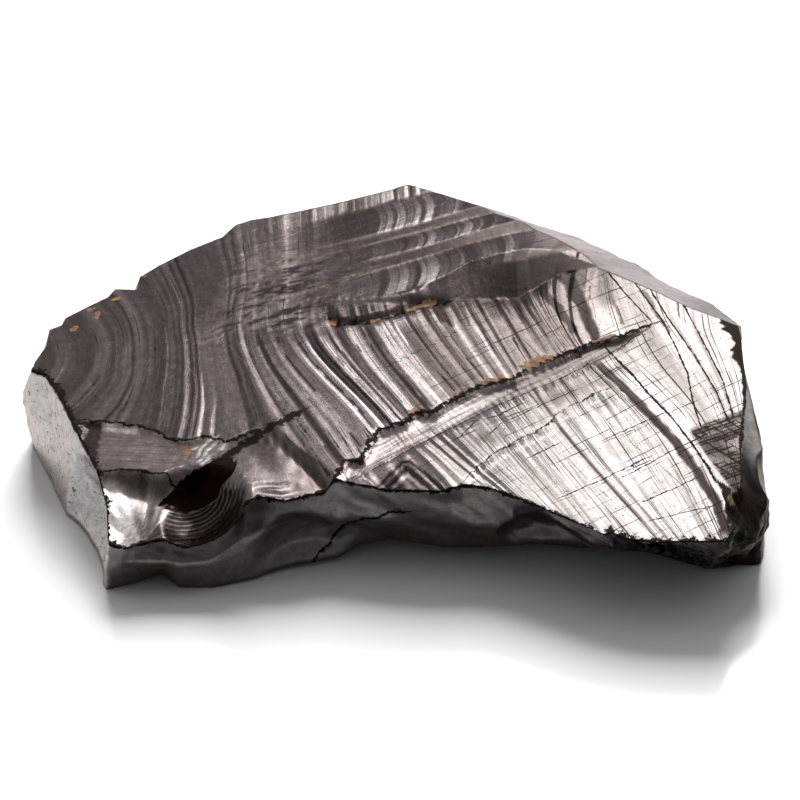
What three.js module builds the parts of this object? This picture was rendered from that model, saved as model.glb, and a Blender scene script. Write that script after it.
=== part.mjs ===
// One lump of glassy shungite, a black carbon rock, broken out in a single piece.
//
// The top is one large shell-shaped fracture. It started at the left corner and ran to the right, and
// each time the crack front paused it left a rib across its path. Smaller chips cut that face later: a
// corner chip, an open hollow, a ledge that crosses the stone and a row of climbing bands at the back.
//
// Everything is in millimetres. X runs to the right, Y from the front to the back and Z up from the
// surface that the stone lies on. The shape is laid out from a point under the middle of the stone, and
// the finished mesh is then moved so that the origin is the middle of its box, at the bottom.

import * as THREE from "three";

// ---- Driving dimensions ----

// Top face: height at the reference point of the front rim, and its slopes to the back and to the right.
const RIM_HEIGHT = 9.2;
const RIM_Y = -34.5;
const SLOPE_BACK = 0.19;
const SLOPE_RIGHT = 0.05;
// To the right of this line the face rounds over a little, by this much per square millimetre.
const ROUND_FROM = -5;
const ROUNDING = 0.0004;
// The front left corner of the face hangs lower than the rest.
const CORNER_DROP = { x: -27, y: -37.9, depth: 1.1, width: 4 };

// Crack fronts across the top face, in the order in which the crack reached them. Each is a curve from
// the rear rim to the front rim, through three plan points on the way.
const FRONTS = [
  [[-36.4, -13.8], [-36.5, -14.1], [-36.6, -14.4]],
  [[-31.6, -10.0], [-31.0, -13.4], [-31.5, -16.6]],
  [[-27.0, -8.0], [-26.2, -14.0], [-26.9, -20.0]],
  [[-23.6, -6.0], [-22.8, -14.0], [-23.6, -24.5]],
  [[-19.9, -4.5], [-19.2, -14.0], [-18.9, -26.0]],
  [[-16.3, -1.0], [-15.8, -12.5], [-12.3, -23.5]],
  [[-10.8, 0.0], [-10.2, -11.5], [-3.6, -23.5]],
  [[-4.6, 2.0], [-4.2, -9.5], [2.6, -24.5]],
  [[1.4, 4.0], [2.2, -8.0], [9.7, -25.0]],
  [[7.6, 2.0], [8.8, -7.5], [15.3, -26.3]],
  [[13.0, -1.0], [14.4, -9.5], [20.8, -26.6]],
  [[18.0, -7.5], [19.3, -16.0], [25.9, -28.5]],
  [[25.6, -10.0], [27.8, -17.0], [30.2, -26.0]],
  [[29.6, -12.0], [30.6, -17.5], [31.6, -23.5]],
  [[33.8, -13.5], [33.7, -15.5], [33.6, -18.0]],
];

// The rim, each corner as the front it belongs to and its plan point. The front rim runs down the edge
// of the left side, round the bowl and along the front, and the rear rim is notched on the left.
const FRONT_RIM = [
  [0, -36.6, -14.6], [0.3, -35.0, -15.4], [1, -33.0, -19.5], [1.6, -31.5, -23.3], [2, -30.2, -26.1],
  [2.3, -28.3, -30.7], [2.65, -27.4, -33.7], [3, -26.8, -38.3], [3.3, -25.2, -38.8], [3.6, -23.6, -38.2],
  [3.85, -22.3, -37.9], [4, -21.2, -38.0], [4.1, -19.6, -38.4], [4.25, -17.7, -37.9], [4.35, -16.3, -37.8],
  [4.45, -15.0, -37.4], [4.55, -14.5, -35.6], [4.7, -13.2, -34.5], [4.85, -10.6, -35.1], [5, -8.0, -33.9],
  [5.2, -5.7, -32.9], [5.4, -3.6, -33.8], [5.75, 0.0, -34.6], [6.2, 4.2, -35.0], [6.45, 5.9, -34.3],
  [6.8, 8.5, -34.8], [7.1, 10.6, -36.2], [7.45, 13.0, -37.9], [8, 17.1, -40.9], [8.3, 18.6, -42.0],
  [8.4, 19.2, -41.6], [8.55, 20.6, -42.6], [8.9, 23.2, -43.1], [9.7, 25.6, -43.1], [11, 29.3, -43.2],
  [11.4, 30.3, -41.2], [12, 31.2, -38.0], [13, 32.0, -29.5], [14, 33.5, -20.8],
];
const REAR_RIM = [
  [0, -36.4, -13.4], [0.3, -35.5, -10.7], [0.5, -35.5, -8.2], [0.8, -34.3, -7.5], [0.9, -34.1, -6.4],
  [1.3, -32.2, -4.8], [1.85, -30.0, -3.1], [2, -29.4, -1.8], [2.65, -27.1, -2.1], [2.75, -27.0, 0.1],
  [3.3, -25.1, 2.0], [4, -22.1, 4.5], [4.55, -19.5, 6.1], [4.7, -18.8, 6.5], [5, -17.5, 8.6],
  [5.3, -15.8, 9.4], [5.6, -13.9, 9.8], [6.8, -6.5, 12.4], [7.4, -2.7, 13.7], [8, 0.9, 15.2],
  [8.5, 4.3, 13.2], [9.3, 9.4, 9.4], [10.3, 15.7, 4.3], [11, 19.1, 0.6], [11.3, 20.2, -1.4],
  [12.2, 26.1, -6.0], [12.8, 28.9, -8.5], [14, 33.7, -11.7],
];

// How far the crack had run at each of those fronts, along the middle of the face.
const RUN = [0, 5.5, 10.3, 13.7, 17.3, 20.7, 26.0, 32.5, 39.2, 46.0, 52.0, 59.5, 66.3, 69.8, 72.9];

// The distances between the ribs that stand out, from left to right, and how high each one is.
const RIB_STEPS = [
  3.4, 2.6, 2.2, 1.9, 1.6, 1.9, 1.6, 1.3, 1.0, 2.1, 1.6, 1.4, 1.5, 1.3, 1.7, 1.4, 1.2, 1.8, 1.5, 1.3,
  1.6, 1.9, 1.4, 1.3, 1.7, 1.5, 1.2, 1.9, 2.2, 1.5, 1.7, 1.4, 2.3, 2.0, 1.9, 1.5, 2.6, 2.1, 2.0, 2.5,
];
const RIB_HEIGHT = 0.22;
// A rib climbs gently for this share of its width and falls off at its far side.
const RIB_CREST = 0.72;
const DEEP_RIBS = { 5: 1.4, 8: 1.4, 13: 1.3, 19: 1.3, 23: 1.4, 28: 1.7, 33: 2.2, 36: 1.5, 38: 1.5 };

// Steps, cracks and chips of the top face, as plan lines.
const LEDGE = [
  [-6.6, -33.9], [-5.0, -30.3], [-3.6, -30.2], [-2.2, -26.2], [0.4, -25.0], [1.4, -23.6], [3.2, -23.8],
  [5.2, -21.8], [7.6, -20.1], [11.0, -19.1], [12.6, -17.4], [15.2, -16.1], [19.0, -13.9], [22.0, -12.9],
  [25.2, -11.1],
];
const LEDGE_DEPTH = 0.55;
const STEP_WIDTH = 0.4;
const LOWER_LEDGE = [
  [5.8, -33.8], [7.5, -31.5], [9.4, -29.4], [11.4, -27.9], [13.8, -26.3], [15.3, -24.1], [17.4, -22.4],
  [20.4, -20.6],
];
const LOWER_LEDGE_DEPTH = 0.3;
const PIT = [[-7.2, -7.6], [-6.4, -9.0], [-2.6, -8.9], [-0.4, -7.7], [1.2, -6.5], [4.2, -6.2]];
const PIT_DEPTH = 0.5;
const PIT_WIDTH = 0.6;
const CORNER_CRACK = [
  [-31.0, -22.6], [-28.0, -23.2], [-24.8, -24.1], [-21.5, -26.2], [-19.9, -26.3], [-18.8, -25.6],
  [-16.4, -26.8], [-13.0, -24.9],
];
const CORNER_CRACK_DEPTH = 0.5;
const FAN_CRACK = [[-29.2, -30.2], [-26.6, -29.9], [-24.2, -30.2], [-20.2, -31.5]];
const FAN_CRACK_DEPTH = 0.6;
// The small facet below that crack falls to the right over a few millimetres.
const FAN = { from: -28.5, width: 3.2, tilt: 0.3, foot: 2 };

// A step grows over the first part of its line and dies away over the last.
const STEP_GROWN = 0.06;
const STEP_FADES = 0.9;
// How far the surface takes to make good again in front of a step.
const LEDGE_REACH = 5;
const LOWER_LEDGE_REACH = 4;
const CORNER_CRACK_REACH = 9;
const FAN_CRACK_REACH = 6;

// A smooth wedge climbs across the back of the face, between these two lines. Two narrower bands climb
// behind it, and the ribbed ladders between them fall back: each pair is a distance behind the diagonal
// and the height that has been reached there.
const WEDGE_FRONT = [[-8, -6.8], [2, -6.1], [12, -5.7], [13, -5.0], [16, -2.4], [20, -1.2]];
const WEDGE_BACK = [
  [-8, -5.0], [-2, -5.4], [2, -5.0], [2.9, -3.5], [4.7, -2.4], [7, -0.6], [10.4, 0.5], [13.3, 1.3],
  [16.6, 1.1], [19.8, -0.8],
];
const WEDGE_SLOPE = 0.2;
const WEDGE_FOOT = 1.5;
const BAND_SLOPE = 0.36;
const BANDS = [[-4.4, 0], [0.6, -0.4], [2.4, -0.1], [5.4, -0.4], [6.9, -0.1], [12.0, -0.4]];
// They all rise out of the face on the left and die away on the right, between these values of X.
const BANDS_BEGIN = [-16, -6];
const BANDS_END = [19, 23];

// The hollow at the front left, which is open to the front: its deepest point and its curvature.
const BOWL = { x: -19.2, y: -34.4, depth: 3.1, radius: 6.2, frontStretch: 0.55, steepness: 1.6 };

// The chip that took the front right corner off: centre and radius of a ball.
const CORNER_CHIP = { x: 34.6, y: -39.6, z: 12.4, radius: 5.7 };

// The sides. Each station stands at a place round the rim and gives a shoulder, half-way down the side,
// and a foot. Places 0 to 14 count the crack fronts along the front rim, 14 to 15 run up the right edge,
// 15 to 29 count them back along the rear rim, and 30 is 0 again.
const STATIONS = [
  [0, [-38.1, -11.9, 6.0], [-37.9, -9.6, 0]],
  [1, [-33.7, -18.8, 5.0], [-34.9, -17.7, 0]],
  [2, [-31.2, -25.4, 4.5], [-32.4, -24.7, 0]],
  [3, [-27.2, -38.0, 3.0], [-27.5, -37.7, 0]],
  [3.5, [-24.4, -38.6, 3.6], [-24.7, -36.9, 0.3]],
  [4, [-21.4, -38.2, 3.2], [-22.4, -36.2, 0.8]],
  [4.1, [-20.3, -38.6, 3.2], [-20.6, -37.3, 0]],
  [4.3, [-17.5, -38.2, 3.2], [-17.2, -37.2, 0]],
  [4.5, [-14.7, -36.9, 4.6], [-14.0, -36.1, 0.2]],
  [4.85, [-10.6, -35.1, 5.0], [-10.6, -34.7, 0.4]],
  [5.2, [-6.0, -33.5, 5.0], [-5.9, -33.1, 0.5]],
  [5.4, [-3.8, -33.7, 5.2], [-4.0, -31.6, 1.2]],
  [5.7, [-0.8, -33.6, 5.2], [-1.0, -31.0, 1.6]],
  [6.2, [4.2, -33.9, 5.0], [4.2, -32.0, 1.2]],
  [7.45, [13.0, -36.3, 5.4], [13.2, -32.5, 1.6]],
  [8.55, [20.6, -40.0, 6.0], [20.4, -33.2, 1.8]],
  [9.7, [25.6, -41.6, 6.4], [25.4, -34.1, 1.3]],
  [11, [29.6, -41.4, 6.2], [29.2, -34.1, 0]],
  [12, [33.0, -38.0, 5.8], [31.6, -33.8, 0.2]],
  [13, [34.8, -34.0, 9.1], [34.4, -33.2, 0]],
  [14, [34.1, -26.5, 11.6], [35.2, -28.5, 0]],
  [14.5, [34.3, -17.5, 8.6], [34.0, -17.0, 1.1]],
  [15, [34.3, -9.4, 13.4], [33.6, -6.0, 0]],
  [16, [32.2, -2.6, 12.6], [31.4, 0.6, 1.3]],
  [17, [28.4, 1.6, 12.7], [28.0, 6.4, 0]],
  [18, [24.6, 6.8, 13.2], [24.6, 11.6, 1.0]],
  [19, [19.4, 10.5, 14.1], [19.4, 16.2, 0]],
  [20, [12.4, 12.2, 15.9], [12.4, 18.4, 1.8]],
  [21, [2.2, 16.6, 14.8], [3.2, 20.6, 0]],
  [22, [-5.4, 14.4, 11.0], [-5.4, 18.8, 1.4]],
  [23, [-12.6, 12.4, 10.0], [-13.6, 16.4, 0]],
  [24, [-18.6, 10.2, 9.0], [-20.2, 13.2, 2.0]],
  [25, [-24.2, 6.2, 8.4], [-26.2, 8.4, 0]],
  [26, [-28.6, 2.2, 8.0], [-30.8, 4.2, 1.2]],
  [27, [-32.2, -0.8, 7.4], [-34.4, 0.6, 0]],
  [28, [-35.8, -5.6, 7.0], [-37.2, -3.8, 1.5]],
  [29, [-38.3, -10.6, 6.2], [-38.1, -8.4, 0]],
  [30, [-38.1, -11.9, 6.0], [-37.9, -9.6, 0]],
];

// How far down the side each ring of the side lies: 0 is the rim, 1 the shoulder and 2 the foot.
const RINGS = [0.35, 0.7, 1.0, 1.3, 1.65, 2.0];

// Shell-shaped scars in the sides, each a ball that has bitten into the stone.
const SCARS = [
  { x: -37.6, y: -33.0, z: 4.0, radius: 11.0 },
  { x: -4.0, y: -43.6, z: -0.5, radius: 11.6 },
  { x: 11.5, y: -50.5, z: -3.0, radius: 17.0 },
  { x: 24.5, y: -47.0, z: -4.0, radius: 12.5 },
  { x: 45.0, y: -16.0, z: 3.0, radius: 12.4 },
  { x: 28.0, y: 22.0, z: 1.0, radius: 17.0 },
  { x: 6.0, y: 33.5, z: 6.0, radius: 17.4 },
  { x: -12.0, y: 29.0, z: 2.0, radius: 15.4 },
  { x: -32.0, y: 19.0, z: 2.0, radius: 16.6 },
  { x: -47.5, y: 0.0, z: 6.0, radius: 12.8 },
];

// The underside is flat where the stone rests. It is the foot line drawn in towards this point.
const REST_CENTRE = [-1.0, -12.0];
const REST_SHARE = 0.84;

// The rows of the top face, and how near to a crack a row must be before it moves onto it.
const ROWS = 32;
const CRACK_NEAR = 3;
// A short way along a front, as a share of the way between two of its points.
const SHORT_WAY = 0.05;
// Each front is a curve through five points, so it has four spans.
const SPANS = 4;
// The least gap between the last rib and the right end of the face.
const LAST_GAP = 0.4;
// Places nearer together than this count as one.
const ROUND_OFF = 1e-6;

// ---- Small helpers ----

const clamp01 = (value) => Math.min(1, Math.max(0, value));

function smoothstep(low, high, value) {
  const share = clamp01((value - low) / (high - low));
  return share * share * (3 - 2 * share);
}

function bell(distance, width) {
  return Math.exp(-((distance / width) ** 2));
}

// A curve through points at whole numbers, read at any place between the first and the last.
function alongCurve(points, place) {
  const last = points.length - 1;
  const index = Math.min(Math.max(Math.floor(place), 0), last - 1);
  const share = place - index;
  const point = (i) => points[Math.min(Math.max(i, 0), last)];
  const [before, start, end, after] = [point(index - 1), point(index), point(index + 1), point(index + 2)];
  return start.map((_, axis) => {
    const slopeIn = (end[axis] - before[axis]) / 2;
    const slopeOut = (after[axis] - start[axis]) / 2;
    const rise = end[axis] - start[axis];
    const square = share * share;
    const cube = square * share;
    return (
      start[axis] + slopeIn * share + (3 * rise - 2 * slopeIn - slopeOut) * square +
      (slopeIn + slopeOut - 2 * rise) * cube
    );
  });
}

// The distance from a plan point to a line, which side it is on (1 is to the right of the line's way)
// and how far along the line the nearest point is, from 0 to 1.
function nearLine(line, x, y) {
  let best = { distance: Infinity, side: 1, along: 0 };
  for (let i = 0; i < line.length - 1; i += 1) {
    const [ax, ay] = line[i];
    const dx = line[i + 1][0] - ax;
    const dy = line[i + 1][1] - ay;
    const share = clamp01(((x - ax) * dx + (y - ay) * dy) / (dx * dx + dy * dy));
    const offX = x - ax - share * dx;
    const offY = y - ay - share * dy;
    const distance = Math.hypot(offX, offY);
    if (distance < best.distance) {
      const side = dx * offY - dy * offX < 0 ? 1 : -1;
      best = { distance, side, along: (i + share) / (line.length - 1) };
    }
  }
  return best;
}

// ---- Height of the top face ----

const ribStarts = RIB_STEPS.reduce((starts, step) => [...starts, starts.at(-1) + step], [0]);

function ribHeight(run) {
  const next = ribStarts.findIndex((start) => start > run);
  const rib = next > 0 ? next - 1 : RIB_STEPS.length - 1;
  const share = (run - ribStarts[rib]) / RIB_STEPS[rib];
  const climb = share < RIB_CREST ? share / RIB_CREST : (1 - share) / (1 - RIB_CREST);
  return RIB_HEIGHT * (DEEP_RIBS[rib] ?? 1) * climb;
}

function stepDown(line, depth, reach, x, y) {
  const { distance, side, along } = nearLine(line, x, y);
  if (side < 0) return 0;
  const ends = smoothstep(0, STEP_GROWN, along) * (1 - smoothstep(STEP_FADES, 1, along));
  return -depth * ends * smoothstep(0, STEP_WIDTH, distance) * Math.exp(-distance / reach);
}

// Reads a line of [place, value] pairs, held at its ends.
function lineAt(line, place) {
  const next = line.findIndex(([at]) => at > place);
  if (next === 0) return line[0][1];
  if (next < 0) return line.at(-1)[1];
  const [[fromAt, from], [toAt, to]] = [line[next - 1], line[next]];
  return from + ((to - from) * (place - fromAt)) / (toAt - fromAt);
}

function bandHeight(x, y) {
  const front = lineAt(WEDGE_FRONT, x);
  const back = lineAt(WEDGE_BACK, x);
  let height = WEDGE_SLOPE * (back - front) * (clamp01((y - front) / (back - front)) - 0.5);
  if (y < front) height *= Math.exp((y - front) / WEDGE_FOOT);
  if (y > back) height += lineAt(BANDS, y - BAND_SLOPE * x);
  return height * smoothstep(...BANDS_BEGIN, x) * (1 - smoothstep(...BANDS_END, x));
}

// The face of the fracture before the ribs and the later chips.
function planeHeight(x, y) {
  const rounded = ROUNDING * Math.max(0, x - ROUND_FROM) ** 2;
  return RIM_HEIGHT + SLOPE_BACK * (y - RIM_Y) + SLOPE_RIGHT * x - rounded;
}

function topHeight(x, y, run) {
  const plane = planeHeight(x, y);
  const corner = Math.hypot(x - CORNER_DROP.x, y - CORNER_DROP.y);
  let height = plane - CORNER_DROP.depth * bell(corner, CORNER_DROP.width);
  height += ribHeight(run) + bandHeight(x, y);
  height += stepDown(LEDGE, LEDGE_DEPTH, LEDGE_REACH, x, y);
  height += stepDown(LOWER_LEDGE, LOWER_LEDGE_DEPTH, LOWER_LEDGE_REACH, x, y);
  height += stepDown(CORNER_CRACK, CORNER_CRACK_DEPTH, CORNER_CRACK_REACH, x, y);
  height -= PIT_DEPTH * bell(nearLine(PIT, x, y).distance, PIT_WIDTH);
  const fan = nearLine(FAN_CRACK, x, y);
  if (fan.side > 0 && x < BOWL.x) {
    height -= FAN_CRACK_DEPTH * smoothstep(0, STEP_WIDTH, fan.distance) * bell(fan.distance, FAN_CRACK_REACH);
    const across = Math.min(Math.max(x - FAN.from, 0), FAN.width);
    height -= FAN.tilt * across * smoothstep(0, FAN.foot, fan.distance);
  }
  const behindBowl = y - BOWL.y;
  const bowlReach = Math.hypot(x - BOWL.x, behindBowl < 0 ? BOWL.frontStretch * behindBowl : behindBowl);
  const bowl = plane - BOWL.depth + (BOWL.steepness * bowlReach ** 2) / (2 * BOWL.radius);
  const chipReach = Math.hypot(x - CORNER_CHIP.x, y - CORNER_CHIP.y);
  const chipDepth = Math.sqrt(Math.max(0, CORNER_CHIP.radius ** 2 - chipReach ** 2));
  const chip = chipReach < CORNER_CHIP.radius ? CORNER_CHIP.z - chipDepth : Infinity;
  return Math.min(height, bowl, chip);
}

// ---- The top face as a grid: one column for each front, one row for each flow line ----

function frontAtRun(run) {
  let index = RUN.findIndex((reached) => reached > run) - 1;
  if (index < 0) index = RUN.length - 2;
  return index + (run - RUN[index]) / (RUN[index + 1] - RUN[index]);
}

// Where a rim is met by the front at this place.
function rimPoint(corners, place) {
  const next = Math.max(1, corners.findIndex(([at]) => at >= place - ROUND_OFF));
  const [fromAt, fromX, fromY] = corners[next - 1];
  const [toAt, toX, toY] = corners[next];
  const share = clamp01((place - fromAt) / (toAt - fromAt));
  return [fromX + (toX - fromX) * share, fromY + (toY - fromY) * share];
}

// The front that the crack had reached after this run, as a curve from the front rim to the rear rim.
function frontCurve(run) {
  const place = frontAtRun(run);
  const inner = [2, 1, 0].map((row) => alongCurve(FRONTS.map((points) => points[row]), place));
  return [rimPoint(FRONT_RIM, place), ...inner, rimPoint(REAR_RIM, place)];
}

// The places along one front at which the grid has its rows. Where a crack crosses the front, one row
// moves onto it and the row before it moves to the foot of the step.
const CRACKS = [LEDGE, LOWER_LEDGE, CORNER_CRACK, FAN_CRACK];

function rowPlaces(curve) {
  const places = Array.from({ length: ROWS + 1 }, (_, row) => (SPANS * row) / ROWS);
  for (const crack of CRACKS) {
    const offsets = places.map((place) => {
      const { distance, side, along } = nearLine(crack, ...alongCurve(curve, place));
      return along > 0 && along < 1 && distance < CRACK_NEAR ? distance * side : NaN;
    });
    const below = offsets.findIndex((offset, row) => offset > 0 && offsets[row + 1] <= 0);
    if (below < 1 || below > ROWS - 2) continue;
    const share = offsets[below] / (offsets[below] - offsets[below + 1]);
    const crossing = places[below] + share * (places[below + 1] - places[below]);
    const row = share < 0.5 ? below : below + 1;
    if (row < 2) continue;
    const [x, y] = alongCurve(curve, crossing);
    const [nearX, nearY] = alongCurve(curve, crossing - SHORT_WAY);
    const foot = crossing - (SHORT_WAY * STEP_WIDTH) / Math.hypot(nearX - x, nearY - y);
    places[row] = crossing;
    places[row - 1] = Math.max(foot, (places[row - 2] + crossing) / 2);
  }
  return places;
}

function topColumn(run) {
  const curve = frontCurve(run);
  return rowPlaces(curve).map((place) => {
    const [x, y] = alongCurve(curve, place);
    return [x, y, topHeight(x, y, run)];
  });
}

const lastRun = RUN.at(-1);
const columns = [0];
ribStarts.slice(0, -1).forEach((start, rib) => {
  if (start > 0 && start < lastRun) columns.push(start);
  const crest = start + RIB_CREST * RIB_STEPS[rib];
  if (crest < lastRun - LAST_GAP) columns.push(crest);
});
columns.push(lastRun);

const vertices = [];
const triangles = [];

function addVertex(point) {
  vertices.push(point);
  return vertices.length - 1;
}

function addStrip(upper, lower) {
  upper.forEach((_, i) => {
    const next = (i + 1) % upper.length;
    triangles.push([upper[i], lower[i], upper[next]], [upper[next], lower[i], lower[next]]);
  });
}

const top = columns.map((run) => topColumn(run).map(addVertex));
for (let column = 0; column < top.length - 1; column += 1) {
  for (let row = 0; row < ROWS; row += 1) {
    const [a, b] = [top[column][row], top[column + 1][row]];
    const [d, c] = [top[column][row + 1], top[column + 1][row + 1]];
    triangles.push([a, b, c], [a, c, d]);
  }
}

// ---- The sides ----

// The rim as one loop, seen from above counter-clockwise, each vertex with its place for the stations.
const RIGHT_EDGE = FRONTS.length - 1;
const REAR_START = 2 * RIGHT_EDGE + 1;
const rim = [];
columns.forEach((run, i) => rim.push({ vertex: top[i][0], place: frontAtRun(run) }));
for (let row = 1; row <= ROWS; row += 1) {
  rim.push({ vertex: top.at(-1)[row], place: RIGHT_EDGE + row / ROWS });
}
for (let i = columns.length - 2; i >= 0; i -= 1) {
  rim.push({ vertex: top[i][ROWS], place: REAR_START - frontAtRun(columns[i]) });
}
for (let row = ROWS - 1; row > 0; row -= 1) {
  rim.push({ vertex: top[0][row], place: REAR_START + 1 - row / ROWS });
}

function stationAt(place) {
  const next = Math.max(1, STATIONS.findIndex(([at]) => at >= place));
  const [fromAt, fromShoulder, fromFoot] = STATIONS[next - 1];
  const [toAt, toShoulder, toFoot] = STATIONS[next];
  const share = (place - fromAt) / (toAt - fromAt);
  const mix = (from, to) => from.map((value, axis) => value + (to[axis] - value) * share);
  return { shoulder: mix(fromShoulder, toShoulder), foot: mix(fromFoot, toFoot) };
}

// The bites reach their full strength this far down, and are this much weaker at the foot.
const BITES_FULL = 0.5;
const BITES_WEAKER = 0.6;

// Pushes a point of the side straight in, out of every ball that has bitten into the stone there.
function carve([x, y, z], strength) {
  const length = Math.hypot(REST_CENTRE[0] - x, REST_CENTRE[1] - y);
  const inX = (REST_CENTRE[0] - x) / length;
  const inY = (REST_CENTRE[1] - y) / length;
  let pushed = 0;
  for (const scar of SCARS) {
    const [dx, dy, dz] = [x - scar.x, y - scar.y, z - scar.z];
    const inside = scar.radius ** 2 - (dx * dx + dy * dy + dz * dz);
    const middle = -(dx * inX + dy * inY);
    if (inside > 0) pushed = Math.max(pushed, middle + Math.sqrt(inside + middle * middle));
  }
  return [x + inX * pushed * strength, y + inY * pushed * strength, z];
}

function sidePoint({ vertex, place }, down) {
  const { shoulder, foot } = stationAt(place);
  const [from, to] = down <= 1 ? [vertices[vertex], shoulder] : [shoulder, foot];
  const share = down <= 1 ? down : down - 1;
  const point = from.map((value, axis) => value + (to[axis] - value) * share);
  const nearFoot = smoothstep(1.5, 2, down);
  return carve(point, smoothstep(0, BITES_FULL, down) * (1 - BITES_WEAKER * nearFoot));
}

let upper = rim.map(({ vertex }) => vertex);
for (const down of RINGS) {
  const lower = rim.map((place) => addVertex(sidePoint(place, down)));
  addStrip(upper, lower);
  upper = lower;
}

// ---- The underside ----

const rest = upper.map((vertex) => {
  const [x, y] = vertices[vertex];
  const [centreX, centreY] = REST_CENTRE;
  return addVertex([centreX + (x - centreX) * REST_SHARE, centreY + (y - centreY) * REST_SHARE, 0]);
});
addStrip(upper, rest);
const middle = addVertex([...REST_CENTRE, 0]);
rest.forEach((vertex, i) => triangles.push([vertex, middle, rest[(i + 1) % rest.length]]));

// ---- The finished mesh ----

const geometry = new THREE.BufferGeometry();
geometry.setAttribute("position", new THREE.Float32BufferAttribute(vertices.flat(), 3));
geometry.setIndex(triangles.flat());
geometry.computeBoundingBox();
const box = geometry.boundingBox;
geometry.translate(-(box.min.x + box.max.x) / 2, -(box.min.y + box.max.y) / 2, -box.min.z);
geometry.computeVertexNormals();

const shungite = new THREE.MeshStandardMaterial({ color: 0x2b2928, roughness: 0.28, metalness: 0.35 });
const stone = new THREE.Mesh(geometry, shungite);
stone.name = "stone";

const group = new THREE.Group();
group.add(stone);

export default group;
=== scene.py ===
# %% [markdown]
# # A lump of glassy shungite
#
# Shungite is a black carbon rock. Its glassy kind breaks like thick bottle glass: the crack leaves
# smooth, curved faces with a metallic shine, and on them fine ribs, steps and hairline cracks.
# This lesson dresses one such lump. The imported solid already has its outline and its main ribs, so the
# lesson rebuilds the same stone from the same sizes with a far finer surface, and gives it its finish.

import functools
import math

import bpy
import numpy as np
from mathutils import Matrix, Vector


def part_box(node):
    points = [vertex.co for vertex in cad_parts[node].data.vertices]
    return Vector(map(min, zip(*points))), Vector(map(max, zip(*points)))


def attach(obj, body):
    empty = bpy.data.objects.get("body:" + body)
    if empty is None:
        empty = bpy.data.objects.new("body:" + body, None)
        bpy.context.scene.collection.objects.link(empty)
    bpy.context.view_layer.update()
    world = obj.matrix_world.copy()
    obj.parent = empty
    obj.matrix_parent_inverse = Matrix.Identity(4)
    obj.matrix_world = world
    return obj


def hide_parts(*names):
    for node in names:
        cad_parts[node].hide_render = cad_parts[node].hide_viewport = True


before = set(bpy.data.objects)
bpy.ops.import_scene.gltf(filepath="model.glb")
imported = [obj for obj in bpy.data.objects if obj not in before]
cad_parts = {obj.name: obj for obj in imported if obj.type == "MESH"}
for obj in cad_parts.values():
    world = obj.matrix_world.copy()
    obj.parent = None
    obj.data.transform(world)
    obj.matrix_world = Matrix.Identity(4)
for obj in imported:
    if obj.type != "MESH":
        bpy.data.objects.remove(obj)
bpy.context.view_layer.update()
low, high = (np.array(corner) * 1000 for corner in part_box("stone"))
print("stone, mm:", np.round(high - low, 1))

# %% [markdown]
# ## Two ways to measure
#
# The stone was laid out in millimetres from a point on the table, a little off the middle of its box.
# Every size below is in that plan, with X to the right, Y to the back and Z up. `to_world` turns such
# a point into Blender's metres, and the mesh goes through the same move at the end.

# %% From the plan to the world
MM = 0.001
PLAN_MIDDLE = np.array([-1.55, -11.95, 0.0])


def to_world(point):
    """A plan point in millimetres as a point in Blender's metres."""
    return tuple((np.array(point, dtype=float) - PLAN_MIDDLE) * MM)


def add_object(name, data):
    """A new object with this mesh, light or camera, put in the scene."""
    thing = bpy.data.objects.new(name, data)
    bpy.context.collection.objects.link(thing)
    return thing


# %% [markdown]
# ## The camera
#
# A long lens from about a quarter of a metre away, looking down at 28 degrees, keeps the stone's lines
# nearly parallel, and both the ribbed top and the dark front side are in sight. A short lens close by
# would swell the front corner. The camera looks at the plan's own origin.

# %% Camera
CAMERA_DISTANCE, CAMERA_ELEVATION = 269.0, math.radians(28.0)
LENS, SENSOR = 113.7, 36.0


def add_camera():
    """A long-lens camera in front of the stone, looking down at it."""
    data = bpy.data.cameras.new("camera")
    data.lens, data.sensor_width = LENS, SENSOR
    data.clip_start, data.clip_end = 0.01, 20.0
    camera = add_object("camera", data)
    back = -CAMERA_DISTANCE * math.cos(CAMERA_ELEVATION)
    camera.location = to_world((0, back, CAMERA_DISTANCE * math.sin(CAMERA_ELEVATION)))
    camera.rotation_euler = (math.pi / 2 - CAMERA_ELEVATION, 0, 0)
    bpy.context.scene.camera = camera
    return camera


print("camera at", np.round(add_camera().location, 3))

# %% [markdown]
# ## Sums with nodes
#
# The finish is worked out by many small nodes. They could be placed by hand in the Shader Editor, but
# in a script they are long-winded: each sum is a node, a setting and two links. A thin wrapper round a
# node's result keeps them readable: a sign between two wrapped values adds the Math node for that sum.


# %% Nodes as values
def add(tree, kind, inputs, result=0, **settings):
    """One node with these settings. Each input is a number, a tuple or another node's value."""
    node = tree.nodes.new("ShaderNode" + kind)
    for name, value in settings.items():
        setattr(node, name, value)
    for name, value in inputs.items():
        socket = node.inputs[name]
        if isinstance(value, Value):
            tree.links.new(value.socket, socket)
        else:
            socket.default_value = (*value, 1.0) if socket.type == "RGBA" else value
    return Value(tree, node.outputs[result])


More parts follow.
